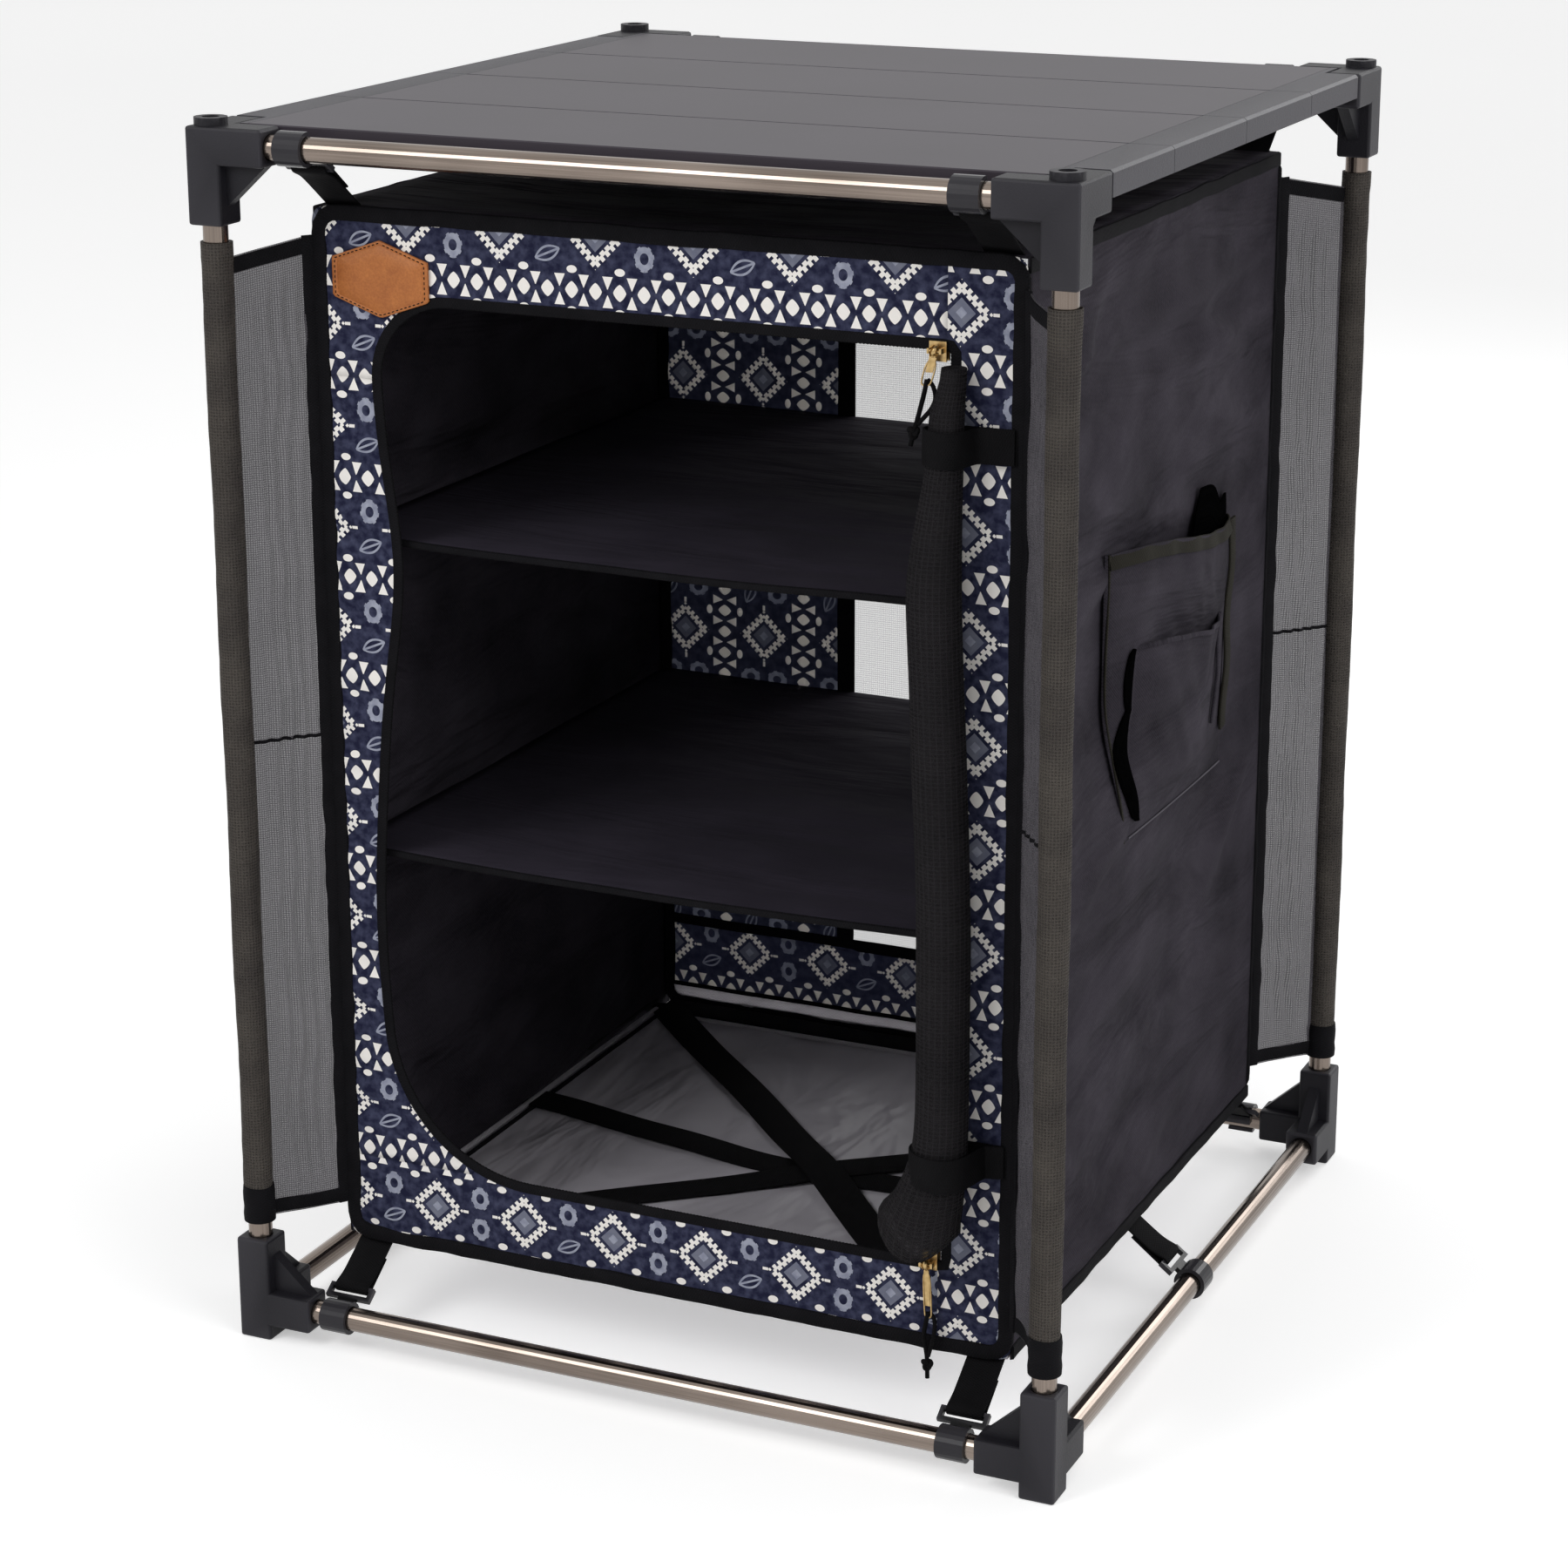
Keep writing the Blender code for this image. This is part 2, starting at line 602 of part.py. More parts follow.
def back_panel():
    """Panel whose middle is thin see-through net."""
    panel = box((-CABINET_X, CABINET_Y - SKIN, 0), (CABINET_X, CABINET_Y, CABINET_HEIGHT))
    half = WINDOW_WIDTH / 2
    recess = box((-half, CABINET_Y - SKIN + NET_THICKNESS, WINDOW_BOTTOM),
                 (half, CABINET_Y + SKIN, CABINET_HEIGHT - WINDOW_TOP_BORDER))
    return combine(panel, ('DIFFERENCE', recess))


def side_panel(side):
    inner, outer = sorted((side * (CABINET_X - SKIN), side * CABINET_X))
    reach = CABINET_Y - SKIN - SEAT_GAP
    return box((inner, -reach, 0), (outer, reach, CABINET_HEIGHT))


def level_panel(low, thickness, setback=0.0):
    """Top, floor or shelf between the side panels, the border and the back."""
    across = CABINET_X - SKIN - SEAT_GAP
    reach = CABINET_Y - SKIN - SEAT_GAP
    return box((-across, -reach + setback, low), (across, reach, low + thickness))


def add_cabinet(fabric, print_cloth, coated, place):
    at = (0, 0, CABINET_BASE_Z)
    pieces = {
        "cabinet_front_border": (front_border(), print_cloth),
        "cabinet_back": (back_panel(), print_cloth),
        "cabinet_left_side": (side_panel(-1), fabric),
        "cabinet_right_side": (side_panel(1), fabric),
        "cabinet_top": (with_webbing(level_panel(CABINET_HEIGHT - SKIN, SKIN), "top"),
                        fabric),
        "cabinet_floor": (with_webbing(level_panel(0, BOARD), "bottom"), coated),
        "shelf_lower": (level_panel(LOWER_SHELF_HEIGHT, BOARD, SHELF_SETBACK), fabric),
        "shelf_upper": (level_panel(UPPER_SHELF_HEIGHT, BOARD, SHELF_SETBACK), fabric),
        "side_pocket": (side_pocket(), fabric),
    }
    for name, (mesh, material) in pieces.items():
        add(name, mesh, material, at, parent=place)


def add_wings(net, place):
    """Mesh wing and its sleeve round each upright, from the cabinet's corner."""
    across = Vector((CABINET_INSET_X, CABINET_INSET_Y))
    length = across.length - SEAT_GAP - WING_THICKNESS
    outer = TUBE_RADIUS + SEAT_GAP + SLEEVE_WALL
    half = WING_THICKNESS / 2
    start = math.asin(half / outer)
    outline = [(length, half), *arc((0, 0), outer, start, 2 * math.pi - start, TUBE_SIDES),
               (length, -half)]
    low = BOTTOM_AXIS_Z + WING_FOOT
    height = RAIL_SPACING_Z - WING_FOOT - WING_HEAD
    body = prism([(x, y, 0) for x, y in outline], (0, 0, height))
    bore = cylinder(BORE_RADIUS, 4 * height)
    straight = combine(body, ('DIFFERENCE', bore))
    for name, x, y, _ in CORNERS:
        turn = math.atan2(-y * across.y, -x * across.x)
        add("wing_" + name, straight, net, (x * POST_X, y * POST_Y, low), (0, 0, turn),
            place)


# Rolled door

def roll_radius(height, top):
    """Radius of the rolled cloth, which narrows towards its top end."""
    share = min(1.0, (top - height) / ROLL_TAPER)
    smooth = share * share * (3 - 2 * share)
    return ROLL_TOP_RADIUS + (ROLL_RADIUS - ROLL_TOP_RADIUS) * smooth


def roll_ring(height, top, grow=0.0):
    radius = roll_radius(height, top)
    x = DOOR_RIGHT + ROLL_OVER_BORDER - radius
    y = -CABINET_Y - SEAT_GAP - ROLL_BAND_THICKNESS - radius
    step = 2 * math.pi / ROLL_SIDES
    around = arc((x, y), radius + grow, step / 2, 2 * math.pi - step / 2, ROLL_SIDES - 1)
    return [(px, py, height) for px, py in around]


def rolled_door():
    """The door rolled up beside the opening, with the two bands that hold it."""
    low = DOOR_BOTTOM + ROLL_FOOT_GAP
    top = DOOR_TOP - ROLL_HEAD_GAP
    heights = [low, (low + top - ROLL_TAPER) / 2]
    rings = ROLL_TAPER_RINGS - 1
    heights += [top - ROLL_TAPER * (1 - i / rings) for i in range(ROLL_TAPER_RINGS)]
    steps = []
    for middle in (low + ROLL_BAND_LOW, top - ROLL_BAND_HIGH):
        ends = (middle - ROLL_BAND_HEIGHT / 2, middle + ROLL_BAND_HEIGHT / 2)
        band = loft([roll_ring(z, top, ROLL_BAND_THICKNESS) for z in ends])
        radius = roll_radius(middle, top)
        right = DOOR_RIGHT + ROLL_OVER_BORDER
        back = -CABINET_Y - SEAT_GAP
        tab = box((right - radius, back - ROLL_BAND_THICKNESS, ends[0]),
                  (right + ROLL_BAND_TAB, back, ends[1]))
        steps += [('UNION', band), ('UNION', tab)]
    return combine(loft([roll_ring(z, top) for z in heights]), *steps)


# Zip sliders

def zip_slider(up):
    """Two blades that clasp the cloth's edge, a post between them, and a bridge for the
    pull. The cloth is above the edge (1) or below it (-1)."""
    gap = SKIN / 2 + ZIP_CLEARANCE
    face = gap + ZIP_BLADE
    half = ZIP_LENGTH / 2
    low, high = sorted((-up * ZIP_BEYOND_EDGE, up * ZIP_OVER_FABRIC))
    post_low, post_high = sorted((-up * ZIP_BEYOND_EDGE, -up * 2 * ZIP_CLEARANCE))
    bar_y = -face - BRIDGE_STANDOFF
    foot_in, foot_out = BRIDGE_SPAN / 2, BRIDGE_SPAN / 2 + BRIDGE_FOOT
    steps = [
        ('UNION', box((-half, gap, low), (half, face, high))),
        ('UNION', box((-ZIP_POST / 2, -face + ZIP_BLADE / 2, post_low),
                      (ZIP_POST / 2, face - ZIP_BLADE / 2, post_high))),
        ('UNION', cylinder(BRIDGE_RADIUS, BRIDGE_SPAN + BRIDGE_FOOT, (0, bar_y, 0), 'X',
                           BRIDGE_SIDES)),
    ]
    for side in (-1, 1):
        near, far = sorted((side * foot_in, side * foot_out))
        foot = box((near, bar_y - BRIDGE_FOOT_HALF, -BRIDGE_FOOT_HALF),
                   (far, -face + ZIP_BLADE / 2, BRIDGE_FOOT_HALF))
        steps.append(('UNION', foot))
    return combine(box((-half, -face, low), (half, -gap, high)), *steps)


def oval(height, half_x, half_y):
    angles = [2 * math.pi * i / CORD_SIDES for i in range(CORD_SIDES)]
    return [(half_x * math.cos(a), half_y * math.sin(a), height) for a in angles]


def zip_pull(length):
    """Metal tab with its eye, and the knotted cord below it. The origin is on the
    bridge's axis."""
    hole = BRIDGE_RADIUS + ZIP_CLEARANCE
    outer = hole + EYE_WALL
    half, thick = TAB_WIDTH / 2, TAB_THICKNESS / 2
    knot_top = -length + CORD_TAIL + KNOT_LENGTH
    rings = [
        oval(-hole - EYE_WALL / 2, half * TAB_NECK, thick),
        oval(-outer - TAB_THICKNESS, half * TAB_SHOULDER, thick),
        oval(-TAB_LENGTH, half, thick),
        oval(-TAB_LENGTH - TAB_THICKNESS, CORD_RADIUS, CORD_RADIUS),
        oval(knot_top + CORD_RADIUS, CORD_RADIUS, CORD_RADIUS),
        oval(knot_top - CORD_RADIUS, KNOT_RADIUS, KNOT_RADIUS),
        oval(knot_top - KNOT_LENGTH + CORD_RADIUS, KNOT_RADIUS, KNOT_RADIUS),
        oval(knot_top - KNOT_LENGTH - CORD_RADIUS, CORD_RADIUS, CORD_RADIUS),
        oval(-length, CORD_RADIUS, CORD_RADIUS),
    ]
    eye = cylinder(outer, EYE_WIDTH, axis='X', sides=EYE_SIDES)
    hole_cut = cylinder(hole, 2 * EYE_WIDTH, axis='X', sides=EYE_SIDES)
    return combine(loft(rings), ('UNION', eye), ('DIFFERENCE', hole_cut))


def add_zips(brass, place):
    middle_y = -CABINET_Y + SKIN / 2
    bar = SKIN / 2 + ZIP_CLEARANCE + ZIP_BLADE + BRIDGE_STANDOFF
    for name, up, inset, height, length in (
            ("top", 1, TOP_SLIDER_INSET, DOOR_TOP, TOP_PULL_LENGTH),
            ("bottom", -1, BOTTOM_SLIDER_INSET, DOOR_BOTTOM, BOTTOM_PULL_LENGTH)):
        at = Vector((DOOR_RIGHT - inset, middle_y, CABINET_BASE_Z + height))
        slider = add("zip_slider_" + name, zip_slider(up), brass, at, parent=place)
        add("zip_pull_" + name, zip_pull(length), brass, at - Vector((0, bar, 0)),
            parent=slider)


# Side pocket

def pocket_sheet(width, height, bulge, base, middle_y, foot_x):
    """Cloth sewn down at both sides and its foot, which stands off the panel towards
    its open top."""
    columns, rows = POCKET_COLUMNS, POCKET_ROWS
    grids = []
    for offset in (0.0, POCKET_SKIN):
        grid = []
        for row in range(rows + 1):
            v = row / rows
            line = []
            for column in range(columns + 1):
                u = column / columns
                stand_off = bulge * v * math.sin(math.pi * u) ** POCKET_FULLNESS
                line.append((foot_x + offset + stand_off, middle_y + width * (u - 0.5),
                             base + height * v))
            grid.append(line)
        grids.append(grid)
    bm = bmesh.new()
    inner, outer = [[[bm.verts.new(p) for p in row] for row in grid] for grid in grids]
    for row in range(rows):
        for column in range(columns):
            for grid in (inner, outer):
                bm.faces.new((grid[row][column], grid[row][column + 1],
                              grid[row + 1][column + 1], grid[row + 1][column]))
    rim = ([(0, c) for c in range(columns)] + [(r, columns) for r in range(rows)]
           + [(rows, c) for c in range(columns, 0, -1)] + [(r, 0) for r in range(rows, 0, -1)])
    for (r0, c0), (r1, c1) in zip(rim, rim[1:] + rim[:1]):
        bm.faces.new((inner[r0][c0], inner[r1][c1], outer[r1][c1], outer[r0][c0]))
    return to_mesh("pocket", bm)


def side_pocket():
    """Large pocket on the right side panel, with a smaller one sewn on its front."""
    foot_x = CABINET_X + SEAT_GAP
    large = pocket_sheet(POCKET_WIDTH, POCKET_HEIGHT, POCKET_BULGE, POCKET_BASE,
                         POCKET_OFFSET_Y, foot_x)
    lean = POCKET_BULGE * SMALL_POCKET_HEIGHT / POCKET_HEIGHT
    small = pocket_sheet(SMALL_POCKET_WIDTH, SMALL_POCKET_HEIGHT,
                         SMALL_POCKET_BULGE + lean, POCKET_BASE + SMALL_POCKET_BASE,
                         POCKET_OFFSET_Y, foot_x + POCKET_SKIN / 2)
    return combine(large, ('UNION', small))


def clear_scene():
    for obj in list(bpy.data.objects):
        bpy.data.objects.remove(obj, do_unlink=True)


def build():
    clear_scene()
    tubing = finish("bronzed_tube", (0.42, 0.36, 0.32), 0.22, 1.0)
    plastic = finish("grey_nylon", (0.050, 0.050, 0.056), 0.55)
    gloss = finish("black_clip_plastic", (0.012, 0.012, 0.014), 0.25)
    aluminium = finish("grey_coated_slat", (0.16, 0.15, 0.17), 0.60, 0.3)
    fabric = finish("black_polyester", (0.018, 0.018, 0.024), 0.90)
    print_cloth = finish("navy_print_cloth", (0.045, 0.050, 0.095), 0.90)
    coated = finish("coated_floor_cloth", (0.060, 0.058, 0.062), 0.45)
    net = finish("grey_net", (0.18, 0.18, 0.19), 0.85)
    brass = finish("brass", (0.65, 0.50, 0.28), 0.30, 1.0)

    top = empty("top_frame", (0, 0, TOP_AXIS_Z))
    cabinet = empty("cabinet", (0, 0, CABINET_BASE_Z))
    add_frame(tubing, plastic, top)
    add_table(aluminium, plastic, top)
    add_clips(gloss, top)
    add_cabinet(fabric, print_cloth, coated, cabinet)
    add_wings(net, cabinet)
    add("rolled_door", rolled_door(), net, (0, 0, CABINET_BASE_Z), parent=cabinet)
    add_zips(brass, cabinet)


build()
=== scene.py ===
# Folding camp storage rack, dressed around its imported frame.
import math

import bmesh
import bpy
from mathutils import Matrix, Vector, noise


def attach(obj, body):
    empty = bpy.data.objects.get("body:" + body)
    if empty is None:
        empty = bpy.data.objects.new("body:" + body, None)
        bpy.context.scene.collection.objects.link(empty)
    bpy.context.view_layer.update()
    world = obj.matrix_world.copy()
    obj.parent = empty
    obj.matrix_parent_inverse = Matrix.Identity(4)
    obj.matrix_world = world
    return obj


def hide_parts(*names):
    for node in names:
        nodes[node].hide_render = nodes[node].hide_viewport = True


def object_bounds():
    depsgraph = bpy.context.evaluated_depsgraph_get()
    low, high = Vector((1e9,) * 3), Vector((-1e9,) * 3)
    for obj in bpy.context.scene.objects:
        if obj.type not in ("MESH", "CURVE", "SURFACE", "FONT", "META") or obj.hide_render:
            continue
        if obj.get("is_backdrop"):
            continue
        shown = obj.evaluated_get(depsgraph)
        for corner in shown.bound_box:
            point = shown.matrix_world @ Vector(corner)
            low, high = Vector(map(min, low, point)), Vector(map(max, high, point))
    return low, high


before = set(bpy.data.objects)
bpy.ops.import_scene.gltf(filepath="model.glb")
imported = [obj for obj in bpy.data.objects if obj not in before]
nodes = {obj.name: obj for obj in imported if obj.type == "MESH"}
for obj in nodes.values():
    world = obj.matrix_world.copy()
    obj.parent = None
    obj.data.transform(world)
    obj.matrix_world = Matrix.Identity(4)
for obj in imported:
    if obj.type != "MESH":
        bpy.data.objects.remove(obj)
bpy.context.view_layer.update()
print("frame loaded,", len(nodes), "nodes")


# Camera

cameraView = {
    "lens": 86.5,
    "shift": (-0.0167, -0.0389),
    "yaw": 24.17,      # degrees round to the right
    "pitch": 16.58,    # degrees above the horizon
    "place": (1.0093, -2.2636, 1.1231),
}

yaw, pitch = math.radians(cameraView["yaw"]), math.radians(cameraView["pitch"])
back = Vector((math.sin(yaw) * math.cos(pitch), -math.cos(yaw) * math.cos(pitch), math.sin(pitch)))
right = Vector((math.cos(yaw), math.sin(yaw), 0))
up = back.cross(right)
camera = bpy.data.objects.new("camera", bpy.data.cameras.new("camera"))
camera.data.lens = cameraView["lens"]
camera.data.shift_x, camera.data.shift_y = cameraView["shift"]
camera.matrix_world = Matrix.Translation(cameraView["place"]) @ Matrix((right, up, back)).transposed().to_4x4()
bpy.context.scene.collection.objects.link(camera)
bpy.context.scene.camera = camera


# Shape tools

def gauss(value, centre, width):
    return math.exp(-((value - centre) / width) ** 2)


def ease(value, low, high):
    t = max(0.0, min(1.0, (value - low) / (high - low)))
    return t * t * (3 - 2 * t)


def ripple(a, b, size, seed=0.0):
    return noise.noise(Vector((a / size, b / size, seed)))


def steps(low, high, cell):
    count = max(1, round((high - low) / cell))
    return [low + (high - low) * i / count for i in range(count + 1)]


# even points along a line of straight runs
def resample(points, step, closed=False):
    line = [Vector(p) for p in points] + ([Vector(points[0])] if closed else [])
    lengths = [(b - a).length for a, b in zip(line, line[1:])]
    count = max(2, round(sum(lengths) / step))
    found, run, start = [], 0, 0.0
    for i in range(count if closed else count + 1):
        target = sum(lengths) * i / count
        while run < len(lengths) - 1 and start + lengths[run] < target:
            start += lengths[run]
            run += 1
        share = (target - start) / max(lengths[run], 1e-9)
        found.append(line[run].lerp(line[run + 1], min(1.0, share)))
    return found


# rounds the corners of an open line and keeps its ends
def smoothLine(points, rounds):
    line = [Vector(p) for p in points]
    for _ in range(rounds):
        cut = [line[0]]
        for a, b in zip(line, line[1:]):
            cut += [a.lerp(b, 0.25), a.lerp(b, 0.75)]
        line = cut + [line[-1]]
    return line


# a rounded strip, across and out
def flatProfile(width, thick):
    radius = 0.45 * thick
    points = []
    for sx, sy, turn in ((1, 1, 0), (-1, 1, 1), (-1, -1, 2), (1, -1, 3)):
        for i in range(3):
            a = (turn + i / 2) * math.pi / 2
            points.append((sx * (width / 2 - radius) + radius * math.cos(a),
                           sy * (thick / 2 - radius) + radius * math.sin(a)))
    return points


def circle(count):
    return [2 * math.pi * i / count for i in range(count)]


# points of an arc in a plane of constant y; quarters are counted from +x toward +z
def arc(x, z, radius, quarters, count, y=0):
    angles = [math.pi / 2 * (quarters + i / count) for i in range(count + 1)]
    return [(x + radius * math.cos(a), y, z + radius * math.sin(a)) for a in angles]


def roundProfile(radius, sides):
    return [(radius * math.cos(a), radius * math.sin(a)) for a in circle(sides)]


# the way a strip looks at each point of its path, when its width lies along side
def facing(path, side):
    ends = [path[0], *path, path[-1]]
    return [(after - before).normalized().cross(side) for before, after in zip(ends, ends[2:])]


# a profile along a path; out is the way the strip's face looks, one vector or one a point
def addSweep(bm, path, out, profile, closed=False):
    path = [Vector(p) for p in path]
    count = len(path)
    layer = bm.loops.layers.uv.verify()
    rings, run, runs = [], 0.0, []
    for i, point in enumerate(path):
        before = path[i - 1] if closed or i else path[0]
        after = path[(i + 1) % count] if closed or i < count - 1 else path[-1]
        along = (after - before).normalized()
        face = Vector(out[i] if isinstance(out, list) else out)
        across = along.cross(face).normalized()
        face = across.cross(along)
        shape = profile(i) if callable(profile) else profile
        rings.append([bm.verts.new(point + across * a + face * b) for a, b in shape])
        runs.append(run)
        run += (path[(i + 1) % count] - point).length
    sides = len(rings[0])
    around = [0.0]
    for j in range(sides):
        around.append(around[-1] + (rings[0][(j + 1) % sides].co - rings[0][j].co).length)
    for i in range(count if closed else count - 1):
        k = (i + 1) % count
        for j in range(sides):
            m = (j + 1) % sides
            quad = bm.faces.new((rings[i][j], rings[i][m], rings[k][m], rings[k][j]))
            near, far = runs[i], runs[i + 1] if i + 1 < count else run
            for loop, uv in zip(quad.loops, ((around[j], near), (around[j + 1], near),
                                             (around[j + 1], far), (around[j], far))):
                loop[layer].uv = uv
    if not closed:
        bm.faces.new(rings[0][::-1])
        bm.faces.new(rings[-1])


# a net of faces over flat cloth coordinates, which become its UV map in metres; closed joins the last u to the first
def addSheet(bm, us, vs, place, keep=None, cut=None, closed=False):
    layer = bm.loops.layers.uv.verify()
    grid = {}

    def corner(i, j):
        i = i % (len(us) - 1) if closed else i
        if (i, j) not in grid:
            grid[i, j] = bm.verts.new(place(us[i], vs[j]))
        return grid[i, j]

    for i in range(len(us) - 1):
        for j in range(len(vs) - 1):
            if keep and not keep((us[i] + us[i + 1]) / 2, (vs[j] + vs[j + 1]) / 2):
                continue
            ring = ((i, j), (i + 1, j), (i + 1, j + 1), (i, j + 1))
            quad = bm.faces.new([corner(*c) for c in ring])
            for loop, (a, b) in zip(quad.loops, ring):
                loop[layer].uv = cut(us[a], vs[b]) if cut else (us[a], vs[b])


# finishes a mesh and gives it its material and its body, and hides the nodes that it stands for
def makePiece(name, bm, material, body="rack", slot="side_fabric", stands=(), thick=None, sharp=40):
    if thick is None:
        bmesh.ops.recalc_face_normals(bm, faces=bm.faces)
    mesh = bpy.data.meshes.new(name)
    bm.to_mesh(mesh)
    bm.free()
    mesh.materials.append(material)
    mesh.shade_smooth()
    mesh.set_sharp_from_angle(angle=math.radians(sharp))
    piece = bpy.data.objects.new(name, mesh)
    bpy.context.scene.collection.objects.link(piece)
    if thick:
        shell = piece.modifiers.new("cloth thickness", 'SOLIDIFY')
        shell.thickness, shell.offset = thick, 0
    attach(piece, body)
    if stands:
        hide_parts(*stands)
    return piece


def sheetPiece(name, material, us, vs, place, keep=None, cut=None, closed=False, **more):
    bm = bmesh.new()
    addSheet(bm, us, vs, place, keep, cut, closed)
    return makePiece(name, bm, material, **more)


# each strip is a path, the way it looks, its profile and perhaps closed
def stripPiece(name, material, strips, **more):
    bm = bmesh.new()
    for strip in strips:
        addSweep(bm, *strip)
    return makePiece(name, bm, material, **more)


# Material tools

def toLinear(hexColour):
    found = []
    for i in (1, 3, 5):
        value = int(hexColour[i:i + 2], 16) / 255
        found.append(value / 12.92 if value <= 0.04045 else ((value + 0.055) / 1.055) ** 2.4)
    return (*found, 1.0)


def addNode(tree, kind, inputs=None, **settings):
    node = tree.nodes.new(kind)
    for key, value in settings.items():
        setattr(node, key, value)
    for key, value in (inputs or {}).items():
        if isinstance(value, bpy.types.NodeSocket):
            tree.links.new(value, node.inputs[key])
        else:
            node.inputs[key].default_value = toLinear(value) if isinstance(value, str) else value
    return node


# a material with its node tree and the place that its pattern is measured from: UV is in metres of flat cloth
def newMaterial(name, space, values):
    material = bpy.data.materials.new(name)
    material.use_nodes = True
    tree = material.node_tree
    for key, value in values.items():
        tree.nodes["Principled BSDF"].inputs[key].default_value = value
    return material, tree, addNode(tree, "ShaderNodeTexCoord").outputs[space]


def linkShader(material, sockets):
    for key, socket in sockets.items():
        material.node_tree.links.new(socket, material.node_tree.nodes["Principled BSDF"].inputs[key])
    return material


# Tubes: aluminium, drawn and bronze anodised. Fine draw lines run along it and stretch the shine.
def drawnTube(name, stretch):
    material, tree, place = newMaterial(name, "Object", {"Metallic": 1.0, "Roughness": 0.2})
    lines = addNode(tree, "ShaderNodeMapping", {"Vector": place, "Scale": stretch}).outputs[0]
    grain = addNode(tree, "ShaderNodeTexNoise", {"Vector": lines, "Scale": 1.0, "Detail": 3.0}).outputs[0]
    cloud = addNode(tree, "ShaderNodeTexNoise", {"Vector": place, "Scale": 9.0, "Detail": 2.0}).outputs[0]
    both = addNode(tree, "ShaderNodeMath", {0: grain, 1: 0.65, 2: cloud}, operation='MULTIPLY_ADD').outputs[0]
    tint = addNode(tree, "ShaderNodeValToRGB", {"Fac": both})
    tint.color_ramp.elements[0].position, tint.color_ramp.elements[0].color = 0.45, toLinear("#5f554e")
    tint.color_ramp.elements[1].position, tint.color_ramp.elements[1].color = 1.0, toLinear("#8d8178")
    bump = addNode(tree, "ShaderNodeBump", {"Strength": 0.05, "Distance": 0.0002, "Height": grain})
    return linkShader(material, {"Base Color": tint.outputs[0], "Normal": bump.outputs[0]})


# Connectors: glass-filled nylon, moulded in a spark-eroded tool. Matt grey, with fine grain and rubbed edges.
def mouldedNylon(name, dark, light, roughness, grainMm, depth, gloss):
    material, tree, place = newMaterial(name, "Object", {"Roughness": roughness, "IOR": 1.53,
                                                         "Specular IOR Level": gloss})
    grain = addNode(tree, "ShaderNodeTexNoise", {"Vector": place, "Scale": 1000 / grainMm, "Detail": 4.0}).outputs[0]
    cloud = addNode(tree, "ShaderNodeTexNoise", {"Vector": place, "Scale": 22.0, "Detail": 3.0}).outputs[0]
    tint = addNode(tree, "ShaderNodeMix", {0: cloud, 6: dark, 7: light}, data_type='RGBA')
    edge = addNode(tree, "ShaderNodeNewGeometry").outputs["Pointiness"]
    worn = addNode(tree, "ShaderNodeMapRange", {"Value": edge, "From Min": 0.53, "From Max": 0.62,
                                                "To Min": 0.0, "To Max": 0.35}).outputs[0]
    rubbed = addNode(tree, "ShaderNodeMix", {0: worn, 6: tint.outputs[2], 7: "#66646b"}, data_type='RGBA')
    bump = addNode(tree, "ShaderNodeBump", {"Strength": 0.5, "Distance": depth, "Height": grain})
    return linkShader(material, {"Base Color": rubbed.outputs[2], "Normal": bump.outputs[0]})


# Table top: extruded aluminium, powder coated. A dry, even grey with fine orange peel and no shine lines.
def powderCoat(name):
    material, tree, place = newMaterial(name, "Object", {"Roughness": 0.48, "IOR": 1.5, "Specular IOR Level": 0.32})
    peel = addNode(tree, "ShaderNodeTexNoise", {"Vector": place, "Scale": 900.0, "Detail": 3.0}).outputs[0]
    cloud = addNode(tree, "ShaderNodeTexNoise", {"Vector": place, "Scale": 7.0, "Detail": 3.0}).outputs[0]
    tint = addNode(tree, "ShaderNodeMix", {0: cloud, 6: "#2a252c", 7: "#38323b"}, data_type='RGBA')
    bump = addNode(tree, "ShaderNodeBump", {"Strength": 0.25, "Distance": 0.0002, "Height": peel})
    return linkShader(material, {"Base Color": tint.outputs[2], "Normal": bump.outputs[0]})


